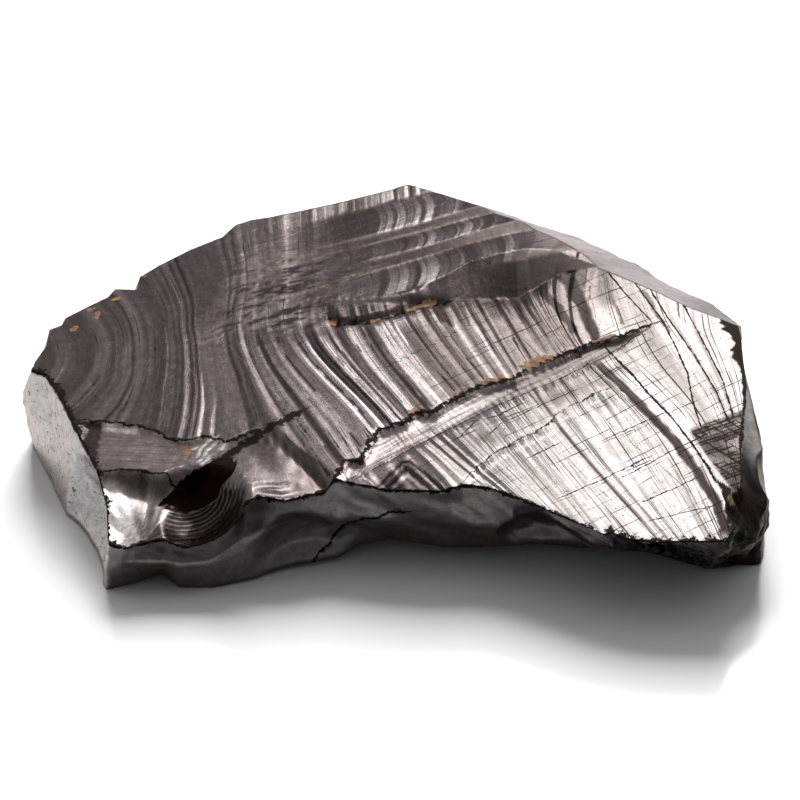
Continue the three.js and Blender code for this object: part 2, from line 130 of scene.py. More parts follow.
class Value:
    """What one node gives out, ready for sums."""

    def __init__(self, tree, socket):
        self.tree, self.socket = tree, socket

    def math(self, kind, *others):
        return add(self.tree, "Math", dict(enumerate((self, *others))), operation=kind)

    def __add__(self, other):
        return self.math("ADD", other)

    def __sub__(self, other):
        return self.math("SUBTRACT", other)

    def __mul__(self, other):
        return self.math("MULTIPLY", other)

    def __truediv__(self, other):
        return self.math("DIVIDE", other)

    def __pow__(self, other):
        return self.math("POWER", other)

    def ranged(self, low, high, to_low=0.0, to_high=1.0, **settings):
        """Turns one span of the value into another, held at the ends."""
        spans = {"Value": self, "From Min": low, "From Max": high, "To Min": to_low, "To Max": to_high}
        return add(self.tree, "MapRange", spans, "Result", **settings)

    def part(self, axis):
        """The X, Y or Z of a place."""
        return add(self.tree, "SeparateXYZ", {0: self}, axis)

    def other(self, name):
        """Another result of the same node."""
        return Value(self.tree, self.socket.node.outputs[name])


# %% [markdown]
# ## Light and floor
#
# A glossy black thing shows little of its own colour: what we see is what it mirrors. So the light is
# planned as things to mirror. A pale floor and pale surroundings give the black faces their soft grey.
# One large soft box stands behind the stone, high and to the right, where the right half of the top
# mirrors it: that half turns silver, and each rib shows as a line where it tips the mirror away.
# A second one lights only the table and the dull surfaces, so the shadow falls softly to the front.

# %% Surroundings
BEHIND, IN_FRONT = 0.86, 0.22
WALL_COLOR = (1.0, 0.985, 0.985, 1.0)


def add_surroundings():
    """A studio with a bright wall behind the stone and a dim room in front of it."""
    world = bpy.data.worlds.new("studio")
    bpy.context.scene.world = world
    world.use_nodes = True
    tree = world.node_tree
    back = add(tree, "TexCoord", {}, "Generated").part("Y")
    strength = back.ranged(-0.55, 0.25, IN_FRONT, BEHIND, interpolation_type="SMOOTHSTEP")
    background = tree.nodes["Background"]
    tree.links.new(strength.socket, background.inputs["Strength"])
    background.inputs["Color"].default_value = WALL_COLOR


add_surroundings()
print("wall strength:", BEHIND, "behind,", IN_FRONT, "in front")
bpy.context.scene.view_settings.view_transform = "Standard"

# %% Soft box
LIGHT_TARGET = np.array([0, -14, 8])


def add_soft_box(name, azimuth, elevation, distance, size, power):
    """A rectangular light that points at the middle of the stone. Azimuth 0 is straight behind it."""
    data = bpy.data.lights.new(name, "AREA")
    data.shape = "RECTANGLE"
    data.size, data.size_y = (side * MM for side in size)
    data.energy = power
    light = add_object(name, data)
    turn, tilt = math.radians(azimuth), math.radians(elevation)
    away = np.array([math.sin(turn) * math.cos(tilt), math.cos(turn) * math.cos(tilt), math.sin(tilt)])
    light.location = to_world(LIGHT_TARGET + away * distance)
    light.rotation_euler = (tilt - math.pi / 2, 0, -turn)
    return light


key = add_soft_box("key", azimuth=27, elevation=49, distance=600, size=(430, 300), power=3.4)
key.data.color = (0.98, 1.0, 0.99)
key.visible_diffuse = False
table_light = add_soft_box("table light", azimuth=1, elevation=41, distance=900, size=(420, 650), power=22.5)
table_light.visible_glossy = False
print("key light at", np.round(key.location, 2))

# %% Floor
FLOOR_HALF, FLOOR_DROP = 4.0, 0.0001
FLOOR_COLOR, FLOOR_ROUGHNESS = (0.6, 0.6, 0.603, 1.0), 0.12


def new_material(name):
    """A material and its Principled BSDF node."""
    material = bpy.data.materials.new(name)
    material.use_nodes = True
    return material, material.node_tree.nodes["Principled BSDF"]


def add_floor():
    """A wide, pale, slightly glossy tabletop."""
    mesh = bpy.data.meshes.new("floor")
    corners = [(a * FLOOR_HALF, b * FLOOR_HALF, 0) for a, b in ((-1, -1), (1, -1), (1, 1), (-1, 1))]
    mesh.from_pydata(corners, [], [(0, 1, 2, 3)])
    floor = add_object("floor", mesh)
    floor.location.z = -FLOOR_DROP
    material, shader = new_material("pale_table")
    shader.inputs["Base Color"].default_value = FLOOR_COLOR
    shader.inputs["Roughness"].default_value = FLOOR_ROUGHNESS
    shader.inputs["IOR"].default_value = 1.45
    mesh.materials.append(material)
    return floor


print("floor at", round(add_floor().location.z, 4))

# %% [markdown]
# ## The stone's plan
#
# These are the stone's driving sizes, the same ones that its solid was made from. A crack front is
# where the crack stood at one moment: the ribs follow the fronts, so a grid that follows them too
# has its edges along every rib, and the ribs stay crisp with few faces.

# %% Crack fronts, in millimetres
FRONTS = np.array([
    [(-36.4, -13.8), (-36.5, -14.1), (-36.6, -14.4)],
    [(-31.6, -10.0), (-31.0, -13.4), (-31.5, -16.6)],
    [(-27.0, -8.0), (-26.2, -14.0), (-26.9, -20.0)],
    [(-23.6, -6.0), (-22.8, -14.0), (-23.6, -24.5)],
    [(-19.9, -4.5), (-19.2, -14.0), (-18.9, -26.0)],
    [(-16.3, -1.0), (-15.8, -12.5), (-12.3, -23.5)],
    [(-10.8, 0.0), (-10.2, -11.5), (-3.6, -23.5)],
    [(-4.6, 2.0), (-4.2, -9.5), (2.6, -24.5)],
    [(1.4, 4.0), (2.2, -8.0), (9.7, -25.0)],
    [(7.6, 2.0), (8.8, -7.5), (15.3, -26.3)],
    [(13.0, -1.0), (14.4, -9.5), (20.8, -26.6)],
    [(18.0, -7.5), (19.3, -16.0), (25.9, -28.5)],
    [(25.6, -10.0), (27.8, -17.0), (30.2, -26.0)],
    [(29.6, -12.0), (30.6, -17.5), (31.6, -23.5)],
    [(33.8, -13.5), (33.7, -15.5), (33.6, -18.0)],
])
RUN = np.array([0, 5.5, 10.3, 13.7, 17.3, 20.7, 26.0, 32.5, 39.2, 46.0, 52.0, 59.5, 66.3, 69.8, 72.9])

# %% The rims: the front each corner belongs to, and its plan point
FRONT_RIM = np.array([
    (0, -36.6, -14.6), (0.3, -35.0, -15.4), (1, -33.0, -19.5), (1.6, -31.5, -23.3), (2, -30.2, -26.1),
    (2.3, -28.3, -30.7), (2.65, -27.4, -33.7), (3, -26.8, -38.3), (3.3, -25.2, -38.8), (3.6, -23.6, -38.2),
    (3.85, -22.3, -37.9), (4, -21.2, -38.0), (4.1, -19.6, -38.4), (4.25, -17.7, -37.9), (4.35, -16.3, -37.8),
    (4.45, -15.0, -37.4), (4.55, -14.5, -35.6), (4.7, -13.2, -34.5), (4.85, -10.6, -35.1), (5, -8.0, -33.9),
    (5.2, -5.7, -32.9), (5.4, -3.6, -33.8), (5.75, 0.0, -34.6), (6.2, 4.2, -35.0), (6.45, 5.9, -34.3),
    (6.8, 8.5, -34.8), (7.1, 10.6, -36.2), (7.45, 13.0, -37.9), (8, 17.1, -40.9), (8.3, 18.6, -42.0),
    (8.4, 19.2, -41.6), (8.55, 20.6, -42.6), (8.9, 23.2, -43.1), (9.7, 25.6, -43.1), (11, 29.3, -43.2),
    (11.4, 30.3, -41.2), (12, 31.2, -38.0), (13, 32.0, -29.5), (14, 33.5, -20.8),
])
REAR_RIM = np.array([
    (0, -36.4, -13.4), (0.3, -35.5, -10.7), (0.5, -35.5, -8.2), (0.8, -34.3, -7.5), (0.9, -34.1, -6.4),
    (1.3, -32.2, -4.8), (1.85, -30.0, -3.1), (2, -29.4, -1.8), (2.65, -27.1, -2.1), (2.75, -27.0, 0.1),
    (3.3, -25.1, 2.0), (4, -22.1, 4.5), (4.55, -19.5, 6.1), (4.7, -18.8, 6.5), (5, -17.5, 8.6),
    (5.3, -15.8, 9.4), (5.6, -13.9, 9.8), (6.8, -6.5, 12.4), (7.4, -2.7, 13.7), (8, 0.9, 15.2),
    (8.5, 4.3, 13.2), (9.3, 9.4, 9.4), (10.3, 15.7, 4.3), (11, 19.1, 0.6), (11.3, 20.2, -1.4),
    (12.2, 26.1, -6.0), (12.8, 28.9, -8.5), (14, 33.7, -11.7),
])

# %% Top face: height and slopes, ribs, cracks and bands
RIM_HEIGHT, RIM_Y = 9.2, -34.5
SLOPE_BACK, SLOPE_RIGHT = 0.19, 0.05
# From this X on the face bends down towards the right, and it sags a little at the front-left corner.
ROUND_FROM, ROUNDING = -5, 0.0004
CORNER_DROP_X, CORNER_DROP_Y, CORNER_DROP, CORNER_DROP_WIDTH = -27, -37.9, 1.1, 4
RIB_STEPS = [
    3.4, 2.6, 2.2, 1.9, 1.6, 1.9, 1.6, 1.3, 1.0, 2.1, 1.6, 1.4, 1.5, 1.3, 1.7, 1.4, 1.2, 1.8, 1.5, 1.3,
    1.6, 1.9, 1.4, 1.3, 1.7, 1.5, 1.2, 1.9, 2.2, 1.5, 1.7, 1.4, 2.3, 2.0, 1.9, 1.5, 2.6, 2.1, 2.0, 2.5,
]
RIB_HEIGHT, RIB_CREST = 0.28, 0.72
DEEP_RIBS = {5: 1.4, 8: 1.4, 13: 1.3, 19: 1.3, 23: 1.4, 28: 1.7, 33: 2.2, 36: 1.5, 38: 1.5}
STEP_WIDTH = 0.7
# Lines on the top face, as plan points: steps, cracks, and the pit's middle.
LINES = {
    "ledge": [
        (-6.6, -33.9), (-5.0, -30.3), (-3.6, -30.2), (-2.2, -26.2), (0.4, -25.0), (1.4, -23.6),
        (3.2, -23.8), (5.2, -21.8), (7.6, -20.1), (11.0, -19.1), (12.6, -17.4), (15.2, -16.1),
        (19.0, -13.9), (22.0, -12.9), (25.2, -11.1),
    ],
    "lower_ledge": [
        (5.8, -33.8), (7.5, -31.5), (9.4, -29.4), (11.4, -27.9), (13.8, -26.3), (15.3, -24.1),
        (17.4, -22.4), (20.4, -20.6),
    ],
    "corner_crack": [
        (-31.0, -22.6), (-28.0, -23.2), (-24.8, -24.1), (-21.5, -26.2), (-19.9, -26.3), (-18.8, -25.6),
        (-16.4, -26.8), (-13.0, -24.9),
    ],
    "fan_crack": [(-29.2, -30.2), (-26.6, -29.9), (-24.2, -30.2), (-20.2, -31.5)],
    "pit": [(-7.2, -7.6), (-6.4, -9.0), (-2.6, -8.9), (-0.4, -7.7), (1.2, -6.5), (4.2, -6.2)],
    "thick_crack": [(-17.6, -29.4), (-15.0, -27.2), (-12.0, -24.7), (-9.6, -22.9)],
    "strip_edge": [(-3.3, -31.9), (2.8, -27.2), (9.6, -22.4), (15.6, -18.8), (20.6, -15.2), (25.0, -11.6)],
}
FRONT_CRACKS = [
    [(20.9, -1.2), (22.9, -6.1), (25.1, -10.6)],
    [(22.7, -0.6), (24.4, -5.5), (26.1, -10.2), (27.0, -13.8), (28.0, -19.0), (28.1, -22.7), (28.6, -27.6)],
    [(25.3, -5.0), (26.9, -10.4), (28.9, -16.2), (30.5, -21.9), (31.3, -26.7)],
    [(28.3, -7.0), (29.8, -13.4), (31.3, -20.2), (31.8, -26.1)],
]
GROOVE_CRACKS = [
    [(20.4, -14.2), (22.5, -18.3), (24.1, -22.0), (25.8, -25.3), (27.3, -29.0), (28.6, -32.7),
     (29.3, -35.4)],
]
CROSS_CRACKS = [
    [(5.7, -27.3), (7.2, -24.9), (9.6, -24.2), (11.6, -22.5)],
    [(8.5, -27.1), (9.5, -25.6), (11.5, -24.3), (14.0, -22.6), (17.5, -20.5)],
    [(12.2, -30.6), (15.1, -28.6)],
    [(18.9, -28.7), (25.3, -24.8)],
    [(14.7, -36.6), (18.5, -34.4), (23.4, -31.1)],
    [(20.4, -34.2), (26.3, -29.9), (31.9, -26.2)],
    [(22.0, -37.7), (27.8, -34.2)],
    [(22.7, -40.1), (28.8, -38.2)],
]
# Strong arcs: how far the crack had run there, how far the face falls, and how dark the line is.
ARCS = [
    (6.0, 0.01, 0.3), (8.1, 0.01, 0.3), (10.1, 0.02, 0.6), (11.4, -0.03, 0.4), (13.2, 0.01, 0.5),
    (14.2, 0.0, 0.5), (14.8, 0.02, 0.5), (15.6, 0.025, 0.6), (16.2, 0.045, 0.8), (19.7, -0.05, 0.6),
    (20.4, 0.0, 0.5), (21.3, 0.0, 0.4),
]
FOLD = [(-2.6, -34.2), (0.0, -30.3), (1.1, -30.1), (4.6, -35.0)]
LEDGE_DEPTH, LOWER_LEDGE_DEPTH, CORNER_CRACK_DEPTH, FAN_CRACK_DEPTH = 0.4, 0.2, 0.45, 0.5
PIT_DEPTH, PIT_WIDTH, FAN_TILT = 0.5, 0.45, 0.36
WEDGE_SLOPE, BAND_SLOPE = 0.2, 0.36
WEDGE_FRONT = [(-8, -6.8), (2, -6.1), (12, -5.7), (13, -5.0), (16, -2.4), (20, -1.2)]
WEDGE_BACK = [
    (-8, -5.0), (-2, -5.4), (2, -5.0), (2.9, -3.5), (4.7, -2.4), (7, -0.6), (10.4, 0.5), (13.3, 1.3),
    (16.6, 1.1), (19.8, -0.8),
]
BANDS = [(-4.4, 0), (0.6, -0.35), (2.4, -0.03), (5.4, -0.3), (6.9, -0.03), (12.0, -0.3)]
# The ladders: how far behind the middle each lies, and half its width. Then each bright patch of a
# ladder, painted as a highlight and given more rib: which ladder, the crack's run at its start and end,
# and how bright it is.
LADDERS = [(-1.9, 2.5), (3.9, 1.5), (9.4, 2.5)]
GLOWS = [
    (0, 30.5, 35.0, 0.35), (0, 35.8, 38.9, 1.2), (0, 39.5, 44.5, 1.0), (0, 46.0, 48.3, 1.1),
    (0, 49.3, 50.7, 1.2), (0, 52.3, 55.2, 0.4), (1, 34.0, 37.5, 0.3), (1, 38.2, 40.1, 0.6),
    (1, 40.5, 43.6, 0.8), (1, 43.9, 46.9, 1.2), (1, 48.0, 48.7, 0.8), (2, 35.2, 36.8, 0.9),
    (2, 37.2, 40.0, 0.8), (2, 40.6, 41.6, 0.9), (2, 42.2, 44.6, 0.7),
]
BOWL_X, BOWL_Y, BOWL_DEPTH, BOWL_RADIUS = -19.2, -34.4, 3.1, 6.2
CHIP_X, CHIP_Y, CHIP_Z, CHIP_RADIUS = 34.6, -39.6, 12.4, 5.7


# %% Small helpers
def rise(start, end, value):
    """0 before start, 1 after end and an easy slope between."""
    share = np.clip((value - start) / (end - start), 0, 1)
    return share * share * (3 - 2 * share)


def fall(start, end, value):
    """1 before start, 0 after end and an easy slope between."""
    return 1 - rise(start, end, value)


def inside(low, high, value, edge):
    """1 between low and high, 0 outside, with soft edges."""
    return rise(low - edge, low + edge, value) * fall(high - edge, high + edge, value)


def bell(distance, width):
    """1 at no distance, falling off smoothly."""
    return np.exp(-((distance / width) ** 2))


def curve(points, at):
    """The height at each place of a line through these points."""
    return np.interp(at, *zip(*points))


def unit(value):
    """The value, held between 0 and 1."""
    return np.clip(value, 0, 1)


def most(*values):
    """The largest of several values, point by point."""
    return functools.reduce(np.maximum, values)


def spline(before, start, end, after, share):
    """The smooth curve between start and end that the points on both sides ask for."""
    slope_in, slope_out, climb = (end - before) / 2, (after - start) / 2, end - start
    bend = (3 * climb - 2 * slope_in - slope_out) * share**2
    return start + slope_in * share + bend + (slope_in + slope_out - 2 * climb) * share**3


def near_line(line, x, y):
    """Distance to a line, with a plus sign on its right side, and how far along it, from 0 to 1."""
    best = np.full(np.shape(x), np.inf)
    side, along = np.ones(np.shape(x)), np.zeros(np.shape(x))
    for number, ((ax, ay), (bx, by)) in enumerate(zip(line[:-1], line[1:])):
        dx, dy = bx - ax, by - ay
        share = np.clip(((x - ax) * dx + (y - ay) * dy) / (dx * dx + dy * dy), 0, 1)
        off_x, off_y = x - ax - share * dx, y - ay - share * dy
        distance = np.hypot(off_x, off_y)
        nearer = distance < best
        best = np.where(nearer, distance, best)
        side = np.where(nearer, np.where(dx * off_y - dy * off_x < 0, 1.0, -1.0), side)
        along = np.where(nearer, (number + share) / (len(line) - 1), along)
    return best * side, along


# %% [markdown]
# ## Seeded unevenness
#
# Nothing in a stone repeats, yet the lesson must give the same stone on each run. Both needs are met by
# value noise: random numbers on a grid, from a fixed seed, with smooth blends between them.


# %% Smooth noise
def noise_1d(value, seed):
    """Smooth random numbers from -1 to 1 along a line, one new number per unit."""
    table = np.random.default_rng(seed).uniform(-1, 1, 512)
    cell = np.floor(value).astype(int)
    share = rise(0, 1, value - cell)
    return table[cell % 512] * (1 - share) + table[(cell + 1) % 512] * share


def noise_2d(x, y, seed):
    """Smooth random numbers from -1 to 1 over a plane, one new number per unit square."""
    table = np.random.default_rng(seed).uniform(-1, 1, (128, 128))
    column, row = np.floor(x).astype(int), np.floor(y).astype(int)
    u, v = rise(0, 1, x - column), rise(0, 1, y - row)

    def corner(right, up):
        return table[(column + right) % 128, (row + up) % 128]

    lower = corner(0, 0) * (1 - u) + corner(1, 0) * u
    upper = corner(0, 1) * (1 - u) + corner(1, 1) * u
    return lower * (1 - v) + upper * v


def rough_2d(x, y, seed, octaves=4):
    """Noise on noise: each octave is twice as fine and half as strong."""
    return sum(noise_2d(x * 2**i + 7.3 * i, y * 2**i, seed + i) / 2**i for i in range(octaves))


# %% [markdown]
# ## The grid
#
# Columns follow the crack fronts and rows run across them. With a column every sixth of a millimetre,
# the smallest ribs of the face are two or three columns wide.

# %% Columns and rows of the top face
COLUMNS, ROWS = 460, 140
run = np.linspace(0, RUN[-1], COLUMNS)
place = np.interp(run, RUN, np.arange(len(RUN)))


def front_curves(place):
    """Each front as five plan points, from the front rim to the rear rim."""
    last = len(FRONTS) - 1
    index = np.clip(np.floor(place).astype(int), 0, last - 1)
    share = (place - index)[:, None, None]
    before, start, end, after = (FRONTS[np.clip(index + step, 0, last)] for step in (-1, 0, 1, 2))
    inner = spline(before, start, end, after, share)[:, ::-1]
    front, rear = (
        np.stack([np.interp(place, rim[:, 0], rim[:, axis]) for axis in (1, 2)], -1)[:, None]
        for rim in (FRONT_RIM, REAR_RIM)
    )
    return np.concatenate([front, inner, rear], axis=1)


def on_curves(curves, places):
    """Plan points on each front, at places from 0 at the front rim to 4 at the rear rim."""
    index = np.clip(np.floor(places).astype(int), 0, 3)
    share = (places - index)[..., None]
    column = np.arange(len(curves))[:, None]
    before, start, end, after = (curves[column, np.clip(index + step, 0, 4)] for step in (-1, 0, 1, 2))
    return spline(before, start, end, after, share)


curves = front_curves(place)
places = np.tile(np.linspace(0, 4, ROWS + 1), (COLUMNS, 1))
plan = on_curves(curves, places)
x, y = plan[..., 0], plan[..., 1]
print("grid:", x.shape, "plan from", plan.min((0, 1)).round(1), "to", plan.max((0, 1)).round(1))

# %% [markdown]
# ## Ribs
#
# A crack in glass runs fast and pauses often. Each pause leaves a rib: a gentle climb and a short drop.
# The large ribs are the solid's own. Between them lie narrow flat treads, each with its own small tilt,
# with a sharp riser between one and the next. A tilt of two degrees is enough to turn a tread from
# silver to grey, so the tilts draw most of what is seen, and they fade in and out along each front.
# Modelled by hand or taken from a scan, a thousand treads would be fixed; made from a few widths and
# tilts, they can all be made finer or stronger at once.

# %% Large ribs
rib_starts = np.concatenate([[0], np.cumsum(RIB_STEPS)])


def large_ribs(run):
    """The height of the large ribs after this run of the crack."""
    rib = np.clip(np.searchsorted(rib_starts, run, side="right") - 1, 0, len(RIB_STEPS) - 1)
    share = (run - rib_starts[rib]) / np.array(RIB_STEPS)[rib]
    climb = np.where(share < RIB_CREST, share / RIB_CREST, (1 - share) / (1 - RIB_CREST))
    deep = np.array([DEEP_RIBS.get(number, 1.0) for number in range(len(RIB_STEPS))])
    return RIB_HEIGHT * deep[rib] * np.maximum(climb, 0)


print("large ribs:", len(RIB_STEPS), "over", round(rib_starts[-1], 1), "mm")

# %% Treads
RISER = 0.17


def treads(run, along, width, tilt, seed):
    """Flat treads of about this width and tilt, and how much of a dirty riser is at each point."""
    random = np.random.default_rng(seed)
    count = int(100 / width)
    widths = random.uniform(0.3, 1.8, count) * width
    starts = np.cumsum(widths) - 10
    level = random.uniform(-0.5, 0.5, count) * tilt * width
    slope = random.normal(0, tilt, count)
    dirty = random.uniform(0, 1, count) ** 2
    here = np.clip(np.searchsorted(starts, run, side="right") - 1, 1, count - 2)
    past = run - starts[here]

    def strength(rib):
        return np.clip(0.75 + 0.8 * noise_2d(along * 0.09 + rib * 5.1, rib * 1.37, seed + 1), 0, 1.4)

    low_end = (level[here - 1] + slope[here - 1] * widths[here]) * strength(here - 1)
    tread = (level[here] + slope[here] * past) * strength(here)
    up = rise(0, RISER, past)
    riser = bell(past - RISER / 2, RISER) * dirty[here] * strength(here)
    return low_end * (1 - up) + tread * up, riser


# %% Bars
def barcode(run, width, seed):
    """Bars of about this width across the run, each with its own number from 0 to 1."""
    random = np.random.default_rng(seed)
    count = int(110 / width)
    ends = np.cumsum(random.uniform(0.3, 1.7, count) * width) - 5
    numbers = random.uniform(0, 1, count)
    here = np.clip(np.searchsorted(ends, run), 1, count - 1)
    return numbers[here], np.minimum(run - ends[here - 1], ends[here] - run)

# %% [markdown]
# ## Zones of the top face
#
# The crack did not run the same way all over. At the left it set out in close arcs. Three smooth bands
# step across the back, where the crack had slipped to another level, with ribbed ladders between them.
# A field of hackle, rough torn streaks, lies left of the middle. Two small facets at the front left
# broke away later and are smooth.

# %% Where each zone lies
steps = np.hypot(*np.diff(plan, axis=1).transpose(2, 0, 1))
to_front = np.concatenate([np.zeros((COLUMNS, 1)), np.cumsum(steps, axis=1)], axis=1)
along = to_front - to_front[:, -1:] / 2
behind = y - BAND_SLOPE * x
waver = 0.2 * rough_2d(x * 0.12, y * 0.12, seed=11, octaves=3)
waver *= (1 - 0.4 * rise(-20, -14, x)) * (1 - 0.6 * rise(4, 12, x))
bend = sum(np.maximum(1 - ((behind - middle) / half) ** 2, 0) for middle, half in LADDERS)
bend *= inside(-8, 18, x, 3)
pull = 0.06 * np.clip(-9.3 - y, 0, 14.5) * bell(run[:, None] - 15.8, 3.5)
run_here = run[:, None] + waver - 0.5 * bend - pull
ragged = rough_2d(x * 0.5, y * 0.9, seed=15, octaves=3)

near = {name: near_line(line, x, y) for name, line in LINES.items()}
ledge_off, _, corner_off, fan_off, pit_off, thick_off, strip_off = (offset for offset, _ in near.values())
wedge_front, wedge_back = curve(WEDGE_FRONT, x), curve(WEDGE_BACK, x)
wedge = inside(wedge_front + 0.2 * ragged, wedge_back, y, 0.2) * inside(-6, 21, x, 2)
middle_band = inside(0.7, 2.4, behind + 0.2 * ragged, 0.3) * inside(-8, 15, x, 2)
rear_band = inside(5.4, 6.9, behind + 0.2 * ragged, 0.3) * inside(-10, 9, x, 2)
arc_band = inside(16.3, 19.4, run_here + 0.03 * (along - 4), 0.15) * inside(-6, 30, along, 5)
hackle = inside(-17, -4, x - 0.3 * y, 3) * inside(-11, 4, y, 3)
strip = inside(0, 30, corner_off, 0.2) * fall(-0.1, 0.3, fan_off) * fall(-17, -15, x)
fan = rise(-0.1, 0.1, fan_off) * fall(-20.5, -19.5, x) * (y < -28)
shield = fall(-0.5, 0.5, x - curve([(-35, -7.0), (-33, -6.6), (-29, -9.6), (-25, -12.6)], y))
shield *= rise(-17.5, -15.5, x) * (y < -24.5) * (corner_off > 0)
ledge_strip = rise(0, 0.3, ledge_off) * fall(-0.15, 0.1, strip_off) * (x > -6)
calm = unit(wedge + middle_band + rear_band + arc_band + strip + fan + shield + ledge_strip)
start_arcs = fall(14, 18, run_here)
print("smooth share of the top:", calm.mean().round(2), "hackle:", hackle.mean().round(2))

# %% [markdown]
# ## Height of the top face
#
# The parts of the face are added up: the sloping plane, the ribs, the bands, and a drop on the low side
# of each crack. Where a later chip has taken material away, the lower of the two surfaces is what is
# left, and `most` and `np.minimum` find it.


# %% Steps and bands
def step_down(name, depth, reach, shelf=0):
    """A sudden drop on the right side of a line, made good beyond a shelf of this width."""
    offset, share = near[name]
    ends = rise(0, 0.06, share) * fall(0.9, 1, share)
    drop = depth * ends * rise(0, STEP_WIDTH, offset) * np.exp(-np.maximum(offset - shelf, 0) / reach)
    return np.where(offset > 0, -drop, 0.0)


def bands():
    """Smooth bands that climb towards the back, with ribbed ladders that fall back between them."""
    across = unit((y - wedge_front) / (wedge_back - wedge_front))
    climb_width = 0.9 + 5.6 * rise(-2, 11, x) - 6.2 * rise(11, 20, x)
    climb = WEDGE_SLOPE * climb_width * (across - 0.35)
    climb = np.where(y > wedge_back, climb * np.exp((wedge_back - y) / 6), climb)
    climb = np.where(y < wedge_front, climb * np.exp((y - wedge_front) / 2.5), climb)
    height = climb + np.where(y > wedge_back, curve(BANDS, behind), 0)
    return height * rise(-16, -6, x) * fall(19, 23, x)


plane = RIM_HEIGHT + SLOPE_BACK * (y - RIM_Y) + SLOPE_RIGHT * x
plane -= ROUNDING * most(x - ROUND_FROM, 0) ** 2
from_corner = np.hypot(x - CORNER_DROP_X, y - CORNER_DROP_Y)
band_climb = bands()
height = plane - CORNER_DROP * bell(from_corner, CORNER_DROP_WIDTH) + band_climb
print("bands climb by up to", band_climb.max().round(2), "mm")

# %% [markdown]
# ## How strong the ribs are
#
# Ribs fade on smooth bands, on the first arcs and at the back. The ladders have next to none, for
# their bars are the crack's own pauses, painted in the colour as bright and dark patches: painted
# highlights and painted shade. In front of the wedge the ribs stand out most, as long bars, and they
# fade again towards the left.

# %% Ribs and treads, each with its own gain
LARGE_SHARE = 0.16


def weakened(*losses):
    """What is left of 1 after each zone has taken its share away."""
    return math.prod(1 - share * zone for zone, share in losses)


wide, wide_riser = treads(run_here, along, width=1.25, tilt=0.04, seed=21)
narrow, narrow_riser = treads(run_here, along, width=0.42, tilt=0.045, seed=31)
right_side = rise(8, 15, x)
rear_left = rise(-5, 0, y - 0.3 * x) * fall(-3, 1, x)
glow = np.zeros_like(x)
for ladder_number, start, end, strength in GLOWS:
    middle, half = LADDERS[ladder_number]
    in_ladder = fall(half - 0.1, half + 0.5, np.abs(behind - middle))
    glow = most(glow, strength * inside(start, end, run_here, 0.15) * in_ladder)
ladder = inside(-5, 12.5, behind, 0.3) * (y > wedge_front) * inside(-9, 24, x, 3)
plain = unit(rise(-0.5, 1.5, ledge_off) * rise(2, 8, x) + rise(19, 23, x) * (ledge_off < 0))
bar_zone = inside(21, 44, run_here, 1.5) * fall(-11, -8.5, y) * (ledge_off < 0)
bar_fade = fall(1.5, 5.5 + 5 * fall(-12, -5, x), wedge_front - y + 1.5 * ragged) * fall(-4, 0, x) * bar_zone

rib_gain = weakened(
    (calm, 0.92), (hackle, 0.8), (start_arcs, 0.65), (right_side, 0.5), (rear_left, 0.75),
    (ladder * (1 - glow), 0.8), (plain, 0.75), (ladder, 0.85), (bar_zone, 0.45), (bar_fade, 0.6),
)
large_gain = LARGE_SHARE * weakened(
    (calm, 0.95), (start_arcs, 0.6), (right_side, 0.5), (rear_left, 0.6), (ladder, 0.85), (bar_zone, 0.3),
)
height += large_gain * large_ribs(run_here) + rib_gain * (wide + narrow)
print("ribs keep", rib_gain.mean().round(2), "of their height on average")

# %% The first arcs, each a small fall with a dark line
arc_lines = np.zeros_like(x)
for at, drop, dark in ARCS:
    past = run_here - at
    low_end = inside(-11, -2, along, 4) + 0.25
    height -= drop * rise(0, 0.3, past) * np.exp(-np.maximum(past, 0) / 2) * low_end
    arc_lines = most(arc_lines, dark * bell(past + 0.15, 0.2) * (corner_off < 0))
print("first arcs:", len(ARCS))

# %% [markdown]
# ## Ledges, facets and torn streaks
#
# Each ledge is one sudden drop along its line. The pit's trough follows its own line. The front-left
# facet tips forward as a fan with flutes that spread from its lowest point. Hackle is noise drawn out
# along the crack's way, and the strip beside the long ledge is scratched along its length.

# %% Steps along the lines
height += step_down("ledge", LEDGE_DEPTH, 8, 3) - 0.045 * np.clip(ledge_off, 0, 3) * ledge_strip
height += step_down("lower_ledge", LOWER_LEDGE_DEPTH, 4) + step_down("corner_crack", CORNER_CRACK_DEPTH, 9)
height -= PIT_DEPTH * bell(pit_off + 0.25 * ragged, PIT_WIDTH)
FAN_X, FAN_Y = -23.7, -38.2
flute, flute_reach = np.arctan2(x - FAN_X, y - FAN_Y), np.hypot(x - FAN_X, y - FAN_Y)
fan_drop = FAN_CRACK_DEPTH * rise(0, STEP_WIDTH, fan_off) * bell(fan_off, 6)
fan_in = np.clip(x + 28.5, 0, 7.5)
fan_drop += FAN_TILT * (fan_in - fan_in**2 / 15) * rise(0, 2, fan_off)
fan_drop += 0.014 * flute_reach * noise_1d(flute * 7 + 20, seed=85)
height -= np.where((fan_off > 0) & (x < BOWL_X), fan_drop, 0)

# %% Hackle, streaks and small rings
torn = rough_2d(x * 0.35, behind * 2.6, seed=41, octaves=4)
streaks = noise_2d(x * 0.16, strip_off * 1.8, seed=51) + 0.4 * noise_2d(x * 0.25, strip_off * 4, seed=53)
height += 0.07 * hackle * torn + 0.04 * ledge_strip * streaks
height -= 0.013 * np.clip(x + 16, 0, 9) ** 2 * shield
bump_reach = np.hypot(x + 17.4, 0.85 * (y + 28.0))
lens = np.hypot((x + 11.5) / 3.2, (y + 33.6) / 1.1)
height += 0.035 * np.cos(bump_reach * 9.7) * bell(bump_reach, 2.0) + 0.1 * np.cos(lens * 5) * bell(lens, 1.0)

